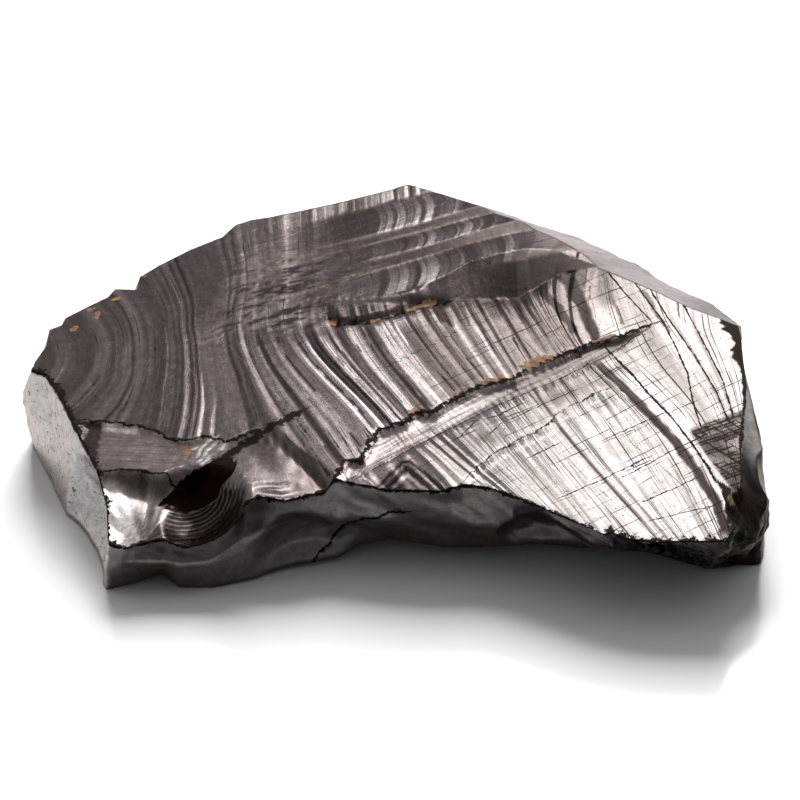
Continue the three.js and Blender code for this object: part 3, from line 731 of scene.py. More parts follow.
# %% [markdown]
# ## The hollow and the chipped corner
#
# Two blows took a bite each. The one at the front left is a shallow bowl with shell rings in it, and
# the one at the front right is a ball-shaped bite with a ragged edge. A Boolean with two balls could
# cut them, but the lower of two heights does the same on a grid and leaves no thin slivers.

# %% Two bites
bowl_y = y - BOWL_Y
bowl_reach = np.hypot(x - BOWL_X, np.where(bowl_y < 0, 0.55 * bowl_y, bowl_y))
bowl_reach += 0.25 * noise_2d(x * 0.5, y * 0.5, seed=81)
shells = 0.05 * np.sin(bowl_reach * 6.5 + noise_2d(x * 0.6, y * 0.6, seed=83)) * rise(1.6, 2.4, bowl_reach)
bowl = plane - BOWL_DEPTH + bowl_reach**2 / (2 * BOWL_RADIUS) * 1.6 + shells
chip_reach = np.hypot(x - CHIP_X, y - CHIP_Y) + 0.35 * ragged
chip_reach += 0.25 * rough_2d(x * 1.5, y * 1.5, seed=89, octaves=2)
chip_depth = np.sqrt(np.maximum(CHIP_RADIUS**2 - chip_reach**2, 0))
chip = np.where(chip_reach < CHIP_RADIUS, CHIP_Z - chip_depth, np.inf)
z = np.minimum(height, np.minimum(bowl, chip))
in_bowl, in_chip = rise(0, 0.25, height - bowl), rise(0, 0.25, height - chip)
print("top face: heights from", z.min().round(2), "to", z.max().round(2))

# %% [markdown]
# ## The sides
#
# Round the rim stand stations, each with a shoulder half-way down the side and a foot near the table.
# Between them the side is ruled, and then balls bite into it: each ball leaves one of the shell-shaped
# scars that a blow leaves in glass, and two scars meet in a sharp edge.

# %% Stations: place round the rim, shoulder and foot
STATIONS = [
    (0, (-38.1, -11.9, 6.0), (-37.9, -9.6, 0)),
    (1, (-33.7, -18.8, 5.0), (-34.9, -17.7, 0)),
    (2, (-31.2, -25.4, 4.5), (-32.4, -24.7, 0)),
    (3, (-27.2, -38.0, 3.0), (-27.5, -37.7, 0)),
    (3.5, (-24.4, -38.6, 3.6), (-24.7, -36.9, 0.3)),
    (4, (-21.4, -38.2, 3.2), (-22.4, -36.2, 0.8)),
    (4.1, (-20.3, -38.6, 3.2), (-20.6, -37.3, 0)),
    (4.3, (-17.5, -38.2, 3.2), (-17.2, -37.2, 0)),
    (4.5, (-14.7, -36.9, 4.6), (-14.0, -36.1, 0.2)),
    (4.85, (-10.6, -35.1, 5.0), (-10.6, -34.7, 0.4)),
    (5.2, (-6.0, -33.5, 5.0), (-5.9, -33.1, 0.5)),
    (5.4, (-3.8, -33.7, 5.2), (-4.0, -31.6, 1.2)),
    (5.7, (-0.8, -33.6, 5.2), (-1.0, -31.0, 1.6)),
    (6.2, (4.2, -33.9, 5.0), (4.2, -32.0, 1.2)),
    (7.45, (13.0, -36.3, 5.4), (13.2, -32.5, 1.6)),
    (8.55, (20.6, -40.0, 6.0), (20.4, -33.2, 1.8)),
    (9.7, (25.6, -41.6, 6.4), (25.4, -34.1, 1.3)),
    (11, (29.6, -41.4, 6.2), (29.2, -34.1, 0)),
    (12, (33.0, -38.0, 5.8), (31.6, -33.8, 0.2)),
    (13, (34.8, -34.0, 9.1), (34.4, -33.2, 0)),
    (14, (34.1, -26.5, 11.6), (35.2, -28.5, 0)),
    (14.5, (34.3, -17.5, 8.6), (34.0, -17.0, 1.1)),
    (15, (34.3, -9.4, 13.4), (33.6, -6.0, 0)),
    (16, (32.2, -2.6, 12.6), (31.4, 0.6, 1.3)),
    (17, (28.4, 1.6, 12.7), (28.0, 6.4, 0)),
    (18, (24.6, 6.8, 13.2), (24.6, 11.6, 1.0)),
    (19, (19.4, 10.5, 14.1), (19.4, 16.2, 0)),
    (20, (12.4, 12.2, 15.9), (12.4, 18.4, 1.8)),
    (21, (2.2, 16.6, 14.8), (3.2, 20.6, 0)),
    (22, (-5.4, 14.4, 11.0), (-5.4, 18.8, 1.4)),
    (23, (-12.6, 12.4, 10.0), (-13.6, 16.4, 0)),
    (24, (-18.6, 10.2, 9.0), (-20.2, 13.2, 2.0)),
    (25, (-24.2, 6.2, 8.4), (-26.2, 8.4, 0)),
    (26, (-28.6, 2.2, 8.0), (-30.8, 4.2, 1.2)),
    (27, (-32.2, -0.8, 7.4), (-34.4, 0.6, 0)),
    (28, (-35.8, -5.6, 7.0), (-37.2, -3.8, 1.5)),
    (29, (-38.3, -10.6, 6.2), (-38.1, -8.4, 0)),
    (30, (-38.1, -11.9, 6.0), (-37.9, -9.6, 0)),
]
SCARS = [
    (-37.6, -33.0, 4.0, 11.0), (-4.0, -43.6, -0.5, 11.6), (11.5, -50.5, -3.0, 17.0),
    (24.5, -47.0, -4.0, 12.5), (45.0, -16.0, 3.0, 12.4), (28.0, 22.0, 1.0, 17.0), (6.0, 33.5, 6.0, 17.4),
    (-12.0, 29.0, 2.0, 15.4), (-32.0, 19.0, 2.0, 16.6), (-47.5, 0.0, 6.0, 12.8),
]
REST_CENTRE, REST_SHARE = np.array([-1.0, -12.0]), 0.84

# %% The rim as one loop, and the stations spread along it
RINGS = 20
number = np.arange(COLUMNS * (ROWS + 1)).reshape(COLUMNS, ROWS + 1)
up = np.arange(1, ROWS + 1) / ROWS
rim = np.concatenate([number[:, 0], number[-1, 1:], number[-2::-1, -1], number[0, ROWS - 1 : 0 : -1]])
rim_place = np.concatenate([place, 14 + up, 29 - place[-2::-1], 30 - up[-2::-1]])
top_points = np.stack([x, y, z], -1).reshape(-1, 3)
station_at, shoulders, feet = (np.array(part) for part in zip(*STATIONS))
shoulder, foot = (
    np.stack([np.interp(rim_place, station_at, values[:, axis]) for axis in range(3)], -1)
    for values in (shoulders, feet)
)

# %% Small scars, at random places on the shoulder or the foot
SMALL_SCAR_COUNT = 30
rng = np.random.default_rng(7)
small_scars = []
for _ in range(SMALL_SCAR_COUNT):
    at = rng.choice(np.flatnonzero((rim_place > 3.4) & (rim_place < 28.8)))
    start = foot[at] if rng.random() < 0.5 else shoulder[at]
    out = start[:2] - REST_CENTRE
    radius = rng.uniform(4, 9)
    reach = radius - rng.uniform(0.15, 0.6)
    centre = start[:2] + out / np.linalg.norm(out) * reach
    small_scars.append((*centre, start[2] + rng.uniform(-1, 2), radius))


# %% The bites taken out of the sides
def unevenness(points):
    """Broad waves and fine roughness on the sides, in millimetres."""
    px, py, pz = points.T
    waves = noise_2d(px * 0.22 + pz * 0.25, py * 0.22 - pz * 0.2, seed=101)
    rough = rough_2d(px * 0.8 + pz * 0.7, py * 0.8 - pz * 0.9, seed=103, octaves=3)
    crumbled = rise(20, 25, px) * rise(-31, -34, py) * fall(5, 8, pz)
    return 0.35 * waves + (0.12 + 0.5 * crumbled) * rough


def carve(points, strength):
    """Pushes side points straight in, out of every ball that has bitten into the stone there."""
    inward = REST_CENTRE - points[:, :2]
    inward /= np.linalg.norm(inward, axis=1, keepdims=True)
    pushed = np.zeros(len(points))
    for *centre, radius in SCARS + small_scars:
        off = points - np.array(centre)
        deep = radius**2 - (off**2).sum(axis=1)
        middle = -(off[:, :2] * inward).sum(axis=1)
        reach = middle + np.sqrt(np.maximum(deep, 0) + middle**2)
        pushed = most(pushed, np.where(deep > 0, reach, 0))
    pushed += most(unevenness(points), -0.1)
    moved = points.copy()
    moved[:, :2] += inward * (pushed * strength)[:, None]
    return moved


rings = []
for down in np.linspace(0, 2, RINGS + 1)[1:]:
    start, end, share = (top_points[rim], shoulder, down) if down <= 1 else (shoulder, foot, down - 1)
    strength = rise(0, 0.5, down) * (1 - 0.6 * rise(1.5, 2, down))
    rings.append(carve(start + (end - start) * share, strength))
print("sides:", len(rim), "round by", RINGS, "down")

# %% [markdown]
# ## One closed mesh
#
# Underneath, the sides close in a flat patch on which the stone lies. The faces are made row by row:
# the top face first, then the rings round the sides, then a fan of triangles underneath. Sculpting by
# hand could make such a lump too, but then no size could be changed afterwards.

# %% The underside, as two smaller loops and a middle point
rest = rings[-1] * (1, 1, 0)
rest[:, :2] = REST_CENTRE + (rest[:, :2] - REST_CENTRE) * REST_SHARE
inner_rest = rest.copy()
inner_rest[:, :2] = REST_CENTRE + (rest[:, :2] - REST_CENTRE) * 0.5
points = np.concatenate([top_points, *rings, rest, inner_rest, [[*REST_CENTRE, 0.0]]])

# %% Faces
quads = [np.stack([number[:-1, :-1], number[1:, :-1], number[1:, 1:], number[:-1, 1:]], -1).reshape(-1, 4)]
loop = len(rim)
upper = rim
for ring in range(RINGS + 2):
    lower = len(top_points) + ring * loop + np.arange(loop)
    quads.append(np.stack([upper, lower, np.roll(lower, -1), np.roll(upper, -1)], -1))
    upper = lower
quads = np.concatenate(quads)
fan_faces = np.stack([upper, np.full(loop, len(points) - 1), np.roll(upper, -1)], -1)
print("faces:", 2 * len(quads) + len(fan_faces), "triangles")

# %% The mesh, moved into the frame and kept inside the solid's box
plan_shift = (points.min(0) + points.max(0)) / 2 * (1, 1, 0)
print("plan middle:", plan_shift.round(2))
mesh = bpy.data.meshes.new("shungite_lump")
mesh.from_pydata(np.clip(points - plan_shift, low, high) * MM, [], quads.tolist() + fan_faces.tolist())
mesh.validate()
mesh.shade_smooth()
stone = add_object("shungite_lump", mesh)


def keep(name, values):
    """Stores one number per vertex for the material to read, and 0 on the vertices left over."""
    data = np.zeros(len(points), dtype=np.float32)
    data[: np.size(values)] = np.ravel(values)
    mesh.attributes.new(name, "FLOAT", "POINT").data.foreach_set("value", data)

# %% [markdown]
# ## Dirt, painted shade and painted highlights
#
# Cracks and torn edges hold black dust. In the deepest ones iron has rusted to ochre. Shade is painted
# into the shine's colour where the face should look darker than what it mirrors, with random tone mixed
# in. A few faces and spots are painted pale or nearly white where they should mirror the light: painted
# reflections and highlights. Each of these is kept as one number per vertex, worked out from the same
# lines that shaped the face.

# %% The hollow, laid out where the eye meets it from the front
HOLLOW_TOP = [(-22.4, -35.4), (-20.2, -31.7), (-17.5, -29.5), (-16.1, -29.0), (-15.4, -29.9)]
HOLLOW_FOOT = [(-22.4, -36.0), (-20.1, -37.3), (-17.4, -35.8)]
HOLLOW_RIGHT = [
    (-37.4, -20.1), (-35.6, -17.4), (-34.2, -16.8), (-33.4, -17.0), (-31.1, -15.5), (-30.1, -15.4),
]
HOLLOW_RING = [(-22.4, -35.6), (-20.8, -36.2), (-19.3, -35.4), (-18.4, -34.0)]
# A point lower than the sloping plane is met further to the front: by this much for each millimetre.
SEEN_SHIFT = 1.39
seen_y = y - SEEN_SHIFT * (plane - z)
hollow = fall(-0.15, 0.15, seen_y - curve(HOLLOW_TOP, x) + 0.15 * ragged)
hollow *= fall(-0.15, 0.15, x - curve(HOLLOW_RIGHT, seen_y)) * (x > -22.6) * (y < -25)
hollow *= rise(-0.15, 0.15, seen_y - curve(HOLLOW_FOOT, x))
ring_off, ring_share = near_line(HOLLOW_RING, x, seen_y)
hollow *= 1 - 0.7 * bell(ring_off, 0.12) * inside(0, 1, ring_share, 0.1)
shell_reach = np.hypot(x + 20.0, 0.75 * (seen_y + 34.3))
shell_zone = in_bowl * (1 - hollow) * rise(1.8, 2.2, shell_reach) * (seen_y < -33.5)

# %% Dark bands that cross the ribs: a line, its width at both ends, and how dark it is
# The third band follows the shallow groove: its darkness is painted shade, since the mesh cuts no groove
# there.
DARK_BANDS = [
    ([(13.4, -3.0), (14.0, -3.8), (15.8, -7.8), (17.5, -12.3)], 0.9, 0.5, 0.85),
    ([(16.6, -2.2), (17.4, -3.8), (18.3, -7.5), (19.0, -11.2), (19.6, -13.6)], 1.1, 0.45, 0.88),
    ([(19.4, -16.2), (21.7, -20.6), (23.2, -23.6), (24.8, -26.9), (26.4, -30.3), (27.8, -34.3),
      (29.0, -38.0), (29.4, -42.4)], 0.5, 0.55, 0.88),
    ([(20.6, -1.5), (21.5, -7.0), (22.2, -11.2)], 0.3, 0.15, 0.6),
    ([(11.6, -5.8), (13.4, -9.4), (15.0, -13.2)], 0.45, 0.25, 0.6),
    ([(24.6, -5.4), (25.6, -8.6), (26.8, -12.6)], 0.35, 0.2, 0.6),
]
dark_bands = np.zeros_like(x)
for line, wide_start, wide_end, dark in DARK_BANDS:
    offset, share = near_line(line, x, y)
    width = wide_start + (wide_end - wide_start) * share
    band = fall(0.6, 1.2, np.abs(offset + 0.15 * ragged) / width)
    dark_bands = most(dark_bands, dark * band * inside(0, 1, share, 0.03))

# %% [markdown]
# The right half of the face is so bright that its finest ribs show only as thin dark lines along the
# crack's fronts, each with a soft shade on its right. Both are painted shade in the colour, standing in
# for how the ribs' steps catch the light. They are listed by how far the crack had run, and drawn with
# the same width in millimetres wherever the fronts spread apart.

# %% Fine lines: the run, half the width, how dark, then the soft shade's width and how dark it is
FINE_LINES = [
    (34.2, 0.07, 0.5, 0.5, 0.3), (35.6, 0.06, 0.45, 0.3, 0.2), (37.5, 0.08, 0.6, 0.5, 0.25),
    (38.2, 0.05, 0.5, 0.3, 0.2), (40.4, 0.07, 0.5, 0.6, 0.25), (42.0, 0.05, 0.4, 0.4, 0.2),
    (43.4, 0.08, 0.6, 0.6, 0.3), (46.0, 0.13, 0.8, 0.45, 0.45), (47.6, 0.07, 0.6, 0.3, 0.25),
    (49.5, 0.05, 0.3, 0.8, 0.2), (52.3, 0.07, 0.55, 0.5, 0.3), (55.4, 0.05, 0.45, 0.9, 0.35),
    (57.0, 0.04, 0.3, 0.5, 0.2), (63.4, 0.08, 0.5, 0.9, 0.35), (67.5, 0.1, 0.5, 0.5, 0.4),
    (69.6, 0.1, 0.5, 0.6, 0.45),
]
column_step, row_way = np.gradient(plan, run, axis=0), np.gradient(plan, axis=1)
row_way /= np.linalg.norm(row_way, axis=2, keepdims=True) + 1e-9
per_run = np.abs(column_step[..., 0] * row_way[..., 1] - column_step[..., 1] * row_way[..., 0])
fine_lines = np.zeros_like(x)
for at, width, dark, soft, soft_dark in FINE_LINES:
    past = (run_here - at) * per_run
    fade = unit(0.75 + 0.7 * noise_2d(along * 0.1 + at, run_here * 0 + at, seed=121))
    soft_part = soft_dark * rise(0, 0.06, past) * fall(0, soft, past)
    fine_lines = most(fine_lines, dark * fade * bell(past, width + 0.03), fade * soft_part)

# %% Teeth along the wedge, the hatched corner, the pit beside it, the fan's rays and the folds
teeth_long = 3.2 + 2.6 * noise_1d(run_here * 1.3, seed=93)
teeth = fall(teeth_long - 0.8, teeth_long + 0.3, wedge_front - y) * (y < wedge_front)
teeth *= inside(0, 21, x, 1.5) * (0.65 + 0.35 * noise_1d(run_here * 2.1, seed=95))
hatched = rise(-0.1, 0.3, x - curve([(-36.0, 30.4), (-32.2, 28.9), (-28.5, 27.6), (-26.0, 27.0)], y))
hatched *= fall(-26.9, -26.1, y - 0.5 * (x - 29) + 0.4 * ragged)
pit_left = curve([(-41.6, 29.5), (-38.9, 29.8), (-36.2, 29.6), (-34.8, 29.2)], y)
pit_top = curve([(29.2, -34.6), (29.7, -35.1), (30.8, -36.2), (31.7, -36.9), (32.3, -36.9)], x)
pit_zone = rise(-0.1, 0.1, x - pit_left + 0.15 * ragged) * rise(-0.1, 0.1, pit_top - y + 0.15 * ragged)
# Painted reflection: the fan facet is made near white where it mirrors the bright room.
FAN_WHITE = [
    (-1.6, 0.9), (-0.6, 0.75), (-0.4, 0.5), (-0.3, 0.1), (-0.1, 0.06), (0.0, 0.3), (0.1, 0.05),
    (0.36, 0.05), (0.42, 0.5), (0.5, 0),
]
fan_rays = unit(0.55 + 0.75 * noise_1d(flute * 9 + 30, seed=87))
fan_white = curve(FAN_WHITE, flute) * fan * (0.6 + 0.4 * fan_rays) * (1 - 0.85 * rise(4.5, 8.5, flute_reach))
FOLD_SHADE = [
    (0, 0), (0.2, 0.85), (0.45, 0.9), (0.55, 0.1), (0.75, 0.1), (0.85, 0.8), (1.35, 0.9), (1.45, 0),
    (1.75, 0), (1.9, 0.75), (3, 0.5),
]
fold_off, fold_share = near_line(FOLD, x, y)
folds = rise(0, 0.1, fold_off) * fall(3, 3.6, fold_off) * inside(0.001, 0.999, fold_share, 0.02)

# %% [markdown]
# ## Bars
#
# Long light and dark bars cross the middle of the face, and short ones cross the ladders. They follow
# the crack's fronts but have no order, much like a barcode: random widths, and one random number each.
# They are painted into the colour, the light ones as painted highlights and the dark ones as painted
# shade, in place of what the treads' tilts would mirror. In the middle the high numbers are dark and
# the low ones light. In a ladder the number sets how far a bar lights up, brightest at the ladder's low
# side, with a thin painted dark gap between one and the next.

# %% Bars of the middle and of the ladders
bar_tone = 0.6 * barcode(run_here, width=1.3, seed=141)[0] + 0.4 * barcode(run_here, width=0.45, seed=143)[0]
bar_shade = (0.7 - 0.3 * rise(32, 42, run_here)) * rise(0.42, 0.5, bar_tone) * bar_zone
bar_shade = most(bar_shade, (0.55 + 0.2 * ragged) * bar_fade)
bar_white = fall(0.24, 0.32, bar_tone) * bar_zone * (1 - bar_fade)
bar_number, from_bar_end = barcode(run_here, width=0.8, seed=147)
low_in_ladder = np.ones_like(x)
for middle, half in LADDERS:
    share = (behind - middle) / half
    low_in_ladder = np.where(np.abs(share) < 1.2, rise(1.0, -0.9, share), low_in_ladder)
lit_bar = unit(glow) * (0.25 + 0.75 * bar_number) * (0.35 + 0.65 * low_in_ladder)
ladder_shade = 0.6 - 0.55 * lit_bar + 0.3 * bell(from_bar_end, 0.09) * unit(glow)
ladder_shade = most(ladder_shade, 0.5 * rise(9, 15, x), 0.5 * calm)

# %% Painted shade, laid on in turns: what comes later lies over what is below it
# This mark darkens the shine's colour: painted shade where the face should look darker, with random tone
# mixed in.
above_ledge, on_arcs = ledge_off < 0, start_arcs * (corner_off < 0)
arc_bars = 0.22 * rise(0.4, 0.6, barcode(run_here, width=1.1, seed=145)[0]) * on_arcs
shade = most(
    arc_lines, 0.5 * unit(noise_1d(run_here * 0.9, seed=91)) * on_arcs, 0.75 * rise(0.1, 0.5, torn) * hackle,
    0.85 * teeth, dark_bands, bar_shade, arc_bars, hatched * (0.6 + 0.25 * ragged), fine_lines * plain,
    0.36 * inside(3, 18, x, 3) * (y < wedge_front) * above_ledge,
)
smooth_bands = unit(wedge + middle_band + rear_band)
# Painted shade on the smooth bands grows to the right, where they would mirror more of the soft box.
shade = most(
    shade * (1 - smooth_bands), (0.42 + 0.38 * rise(5, 13, x)) * smooth_bands,
    0.5 * inside(-9, 4, x, 1) * inside(0, 2.5, y - wedge_front + 2.4, 0.4),
    0.3 * unit(noise_1d(run_here * 0.6, seed=99)) * rise(8, 14, x),
    0.15 * unit(rough_2d(x * 0.3, y * 0.3, seed=131, octaves=3)) * plain,
    0.6 * unit(noise_1d(flute * 7 + 20.5, seed=85)) * fan * (1 - fan_white),
    0.35 * rear_left * unit(0.5 + noise_1d(run_here * 0.55, seed=97)),
)
shade = shade * (1 - ladder) + ladder_shade * ladder
right_tip = inside(14, 24, x, 2) * rise(-9.5, -6, y + 0.25 * (x - 20))
under_strip = (strip_off > 0) * fall(2, 8, strip_off) * inside(5, 23, x, 3)
# The thin dark line at the wedge's front is painted shade over the light its fold would mirror.
shade = most(
    shade, (0.25 + 0.3 * rise(-0.2, 0.6, noise_1d(run_here * 1.1, seed=151))) * right_tip,
    0.9 * bell(y - wedge_front + 0.1 * ragged, 0.22) * inside(3, 20.5, x, 1), 0.75 * in_chip,
    0.5 * rise(3, 12, x) * ledge_strip, (0.3 + 0.2 * ragged) * under_strip,
    0.6 * (corner_off > 0.1) * (x < -28.8) * (fan_off < 0),
)
# The chevron folds and the ribs by the shield's edge are painted as stripes of shade, with no relief.
shade = shade * (1 - folds) + curve(FOLD_SHADE, fold_off) * folds
edge_off, _ = near_line([(-12.2, -25.2), (-9.6, -29.0), (-6.2, -33.4)], x, y)
edge_ribs = (0.5 + 0.5 * np.sin(6.5 * edge_off)) * bell(edge_off - 0.6, 1.6) * (corner_off > 0) * above_ledge
shade = most(shade, 0.6 * edge_ribs * (y < -24.5) * (thick_off > 0))
print("shade on the top, on average:", shade.mean().round(2))

# %% Dust, and painted highlights made nearly white
riser_dust = most(wide_riser, 0.8 * narrow_riser) * np.minimum(1.4 * rib_gain, 1)
dust = most(
    0.85 * riser_dust * (1 - 0.6 * plain), in_chip * (0.5 + 0.5 * ragged), pit_zone * (0.75 + 0.4 * ragged),
    rise(71.6, 72.3, run_here + 0.5 * ragged) * (y < -9) * (y > -27),
)
# Painted highlights: the fan's white, glints, bright rings and light bars, made nearly white in colour.
glint = rise(0.1, 0.3, corner_off) * fall(0.55, 0.8, corner_off) * inside(-28.6, -25.2, x, 0.4)
small_rings = most(bell(bump_reach - 1.0, 0.13), bell(bump_reach - 1.7, 0.1)) * (x < -17.2) * (thick_off < 0)
painted_highlight = most(
    0.85 * fan_white, 0.45 * glint, 0.2 * bar_white, 0.6 * lit_bar * ladder * (1 - calm), 0.7 * small_rings,
    0.9 * bell(np.hypot(x + 16.9, 1.2 * (y + 27.2)), 0.35),
    0.3 * unit(glow) * rise(0.55, 0.9, bar_number) * low_in_ladder,
)

# %% Rust: the middle of each stain, and its reach along and across
RUST = [
    (-6.8, -8.3, 0.45, 0.7), (2.4, -6.3, 1.8, 0.5), (-2.5, -8.6, 1.4, 0.12), (1.3, -23.4, 0.8, 0.2),
    (8.5, -19.3, 1.3, 0.34), (13.4, -16.5, 2.0, 0.55), (20.5, -13.1, 1.2, 0.2), (-30.8, -5.8, 0.25, 0.8),
    (-12.5, 1.8, 0.6, 0.14), (-10.5, 1.8, 0.4, 0.12), (-13.7, -2.5, 0.3, 0.12), (-13.0, -9.0, 0.3, 0.2),
    (-7.8, -2.4, 0.5, 0.14), (-5.4, -1.1, 0.6, 0.14), (-20.2, -27.7, 0.3, 1.0), (-21.6, -27.0, 0.6, 0.15),
    (30.3, -37.4, 0.3, 0.7), (30.6, -36.4, 0.3, 0.25), (-33.0, -8.2, 0.3, 0.35), (-31.4, -5.0, 0.4, 0.25),
    (-29.0, -3.4, 0.5, 0.2), (-26.6, 0.2, 0.3, 0.15), (-10.6, -14.6, 0.25, 0.1), (5.8, -20.8, 0.6, 0.2),
]
rust = np.zeros_like(x)
rust_ragged = 0.5 * rough_2d(x * 1.5, y * 1.5, seed=71, octaves=3)
for rust_x, rust_y, wide_x, wide_y in RUST:
    reach = np.hypot((x - rust_x) / wide_x, (y - rust_y - 0.45 * (x - rust_x)) / wide_y)
    rust = most(rust, fall(0.6, 1.3, reach + rust_ragged))
print("rusty share of the top:", (rust > 0.5).mean().round(4))

# %% [markdown]
# ## Crack lines
#
# A hairline is thinner than the grid's cells, so it can't be stored as dark or light. What is stored is
# the distance to it, with a plus sign on one side and a minus sign on the other. That changes evenly
# from cell to cell, so the material can draw a line of any width, as sharp as the render allows.


# %% Signed distances
FAR_OFF = 9.0


def tapered(offset, share):
    """A distance that grows towards the ends of its line, so that the crack thins out there."""
    return np.clip(offset / most(inside(0, 1, share, 0.04), 0.02), -4, 4)


def nearest_crack(lines):
    """Distance to the nearest of several cracks, with signs that alternate so that it has no jumps."""
    nearest = np.full_like(x, FAR_OFF)
    for turn, line in enumerate(lines):
        offset = tapered(*near_line(line, x, y)) * (-1) ** turn
        nearest = np.where(np.abs(offset) < np.abs(nearest), offset, nearest)
    return nearest


# %% [markdown]
# ## Marks on the sides
#
# The left facet, which stands in the light, is painted pale: a painted reflection of the light it
# mirrors, with its own dark pits. The front side is dark, with a lip that catches the light, painted pale
# as a highlight, one stepped crack, and a crumbled corner at its right end. Painted shade darkens the
# right side. The sides know how far they lie below the rim, because dust sits along the rim itself.

# %% One number per vertex: the top face first, then each ring of the sides, then the underside
def whole(top, under, sides=None):
    """One number per vertex, for the top face, the underside and the rings of the sides."""
    sides = np.broadcast_to(under if sides is None else sides, (RINGS, loop)).ravel()
    rest = np.full(len(points) - x.size - sides.size, float(under))
    return np.concatenate([np.broadcast_to(top, x.shape).ravel(), sides, rest])


px, py, pz = points.T
below_rim = 2 * np.arange(1, RINGS + 1)[:, None] / RINGS
side = whole(0, 1)
crumbled = rise(19, 23, px) * rise(-31, -33, py) * fall(5, 7.5, pz)
crumbled = most(crumbled, rise(29, 30.5, px) * rise(-34.5, -36, py)) * side
# Painted reflection: the left facet and a lip on the front side are made pale where they mirror the light.
left_facet = (rim_place > 29.3) | (rim_place < 3.02)
lip = 0.35 * inside(7.3, 10.6, rim_place, 0.5) * inside(0.12, 0.32, below_rim, 0.05)
# Painted shade darkens the right side, where it would mirror too much light.
right_shade = curve([(11.1, 0), (11.6, 0.93), (12.6, 0.9), (13.2, 0.55), (14.5, 0.5), (15.0, 0)], rim_place)
upper_left = 0.5 * inside(3.4, 4.9, rim_place, 0.3) * (below_rim < 0.9)
torn_rim = 0.45 + 0.55 * rise(6, 12, x) + 0.9 * fall(-26, -22, x) + 0.8 * bell(x - 19, 2)
FRONT_STEP = [(-11.5, 0.0), (-8.6, 0.1), (-6.6, 2.2), (-5.2, 4.3), (-2.8, 5.4), (-0.5, 6.2), (0.9, 6.4)]
front_step = tapered(*near_line(FRONT_STEP, px, pz))
front_step = np.where((py < -26) & (pz > 0.1) & (side > 0), front_step, FAR_OFF)

# %% All the marks
marks = {name: tapered(*near[name]) for name in LINES}
marks |= {
    "cross": nearest_crack(CROSS_CRACKS), "front_cracks": nearest_crack(FRONT_CRACKS),
    "groove_crack": nearest_crack(GROOVE_CRACKS), "front_step": front_step,
    "crack_run": run_here, "crack_along": along, "calm": calm, "hackle": hackle, "plain": plain,
    "checked": (0.2 + 0.8 * rise(-6, 8, x)) * (1 - 0.7 * rise(22, 26, x) * rise(-22, -18, y)),
    "hatched": hatched * (1 - pit_zone), "dust": dust, "rust": rust, "hollow": hollow,
    "streaky": ledge_strip, "strip": strip, "shells": shell_zone, "shell_reach": shell_reach,
    "shade": whole(shade, 0, most(right_shade, upper_left)), "pale": whole(0, 0, most(lip, left_facet)),
    # A strip of the back side gets a painted highlight too, where it mirrors the bright room.
    "painted_highlight": whole(painted_highlight, 0, 0.27 * inside(16.2, 20.5, rim_place, 0.4)), "side": side,
    "to_rim": whole(to_front, FAR_OFF, 4 * below_rim), "crumbly": whole(torn_rim, 0.5), "crumbled": crumbled,
}
for name, values in marks.items():
    keep(name, values)
print("marks kept on each vertex:", len(marks))

# %% [markdown]
# ## Hairline cracks
#
# As the rock cooled and was handled, families of almost straight hairlines ran through it. Each family
# is a row of cells along one direction, and the crack is where two cells meet. Noise bends the lines
# and breaks them off. All the families live in one node group, because colour and relief both use them.


# %% Patterns
def noise(place, scale, detail=3.0, roughness=0.55):
    """Noise in a space measured in millimetres."""
    settings = {"Vector": place, "Scale": scale, "Detail": detail, "Roughness": roughness}
    return add(place.tree, "TexNoise", settings, "Fac")


def stretched(place, turn, scale):
    """The same place, turned about Z by this many degrees and stretched."""
    settings = {"Vector": place, "Rotation": (0, 0, math.radians(turn)), "Scale": scale}
    return add(place.tree, "Mapping", settings, vector_type="TEXTURE")


def combine(first, second):
    """A place from two numbers."""
    return add(first.tree, "CombineXYZ", {0: first, 1: second}, "Vector")


def largest(*values):
    """The largest of several values."""
    return functools.reduce(lambda first, second: first.math("MAXIMUM", second), values)


def family(place, turn, spacing, width, wander, shake=0.07):
    """One family of nearly straight cracks: 1 in a crack, 0 elsewhere."""
    sway = noise(place, 0.06, 1.0).ranged(0, 1, -wander, wander)
    jitter = noise(place, 1.1, 2.0).ranged(0, 1, -shake, shake)
    across = stretched(place, turn, (1, 1, 1)).part("Y") + (sway + jitter)
    rows = add(
        place.tree, "TexVoronoi", {"W": across, "Scale": 1 / spacing}, "Distance",
        voronoi_dimensions="1D", feature="DISTANCE_TO_EDGE",
    )
    broken = noise(stretched(place, turn, (4.5, 0.9, 1)), 1.0)
    reach = broken.ranged(0.48, 0.62, 0.001, width / spacing)
    return largest((rows / reach) * -1 + 1, 0.0)


# %% The group
def hairline_group():
    """Hairlines that run slantwise over the ribs, a hatching for one corner, and lines along the fronts."""
    group = bpy.data.node_groups.new("hairlines", "ShaderNodeTree")
    for title in ("Place", "Run"):
        group.interface.new_socket(title, in_out="INPUT", socket_type="NodeSocketVector")
    place = Value(group, group.nodes.new("NodeGroupInput").outputs["Place"])
    run = place.other("Run")
    results = {
        "Crack": largest(
            family(place, 34, 1.6, 0.05, 1.0), family(place, 31, 5.0, 0.08, 1.2),
            family(place, -58, 5.5, 0.035, 1.0),
        ),
        "Hatch": largest(family(place, 24, 0.45, 0.42, 0.8), family(place, -50, 0.8, 0.3, 0.8)),
        "Line": largest(family(run, 0, 1.9, 0.09, 0.1, 0.01), family(run, 0, 0.6, 0.05, 0.1, 0.01) * 0.7),
    }
    for title in results:
        group.interface.new_socket(title, in_out="OUTPUT", socket_type="NodeSocketFloat")
    outlet = group.nodes.new("NodeGroupOutput")
    for title, value in results.items():
        group.links.new(value.socket, outlet.inputs[title])
    return group


hairlines = hairline_group()
print("hairline sockets:", [item.name for item in hairlines.interface.items_tree])
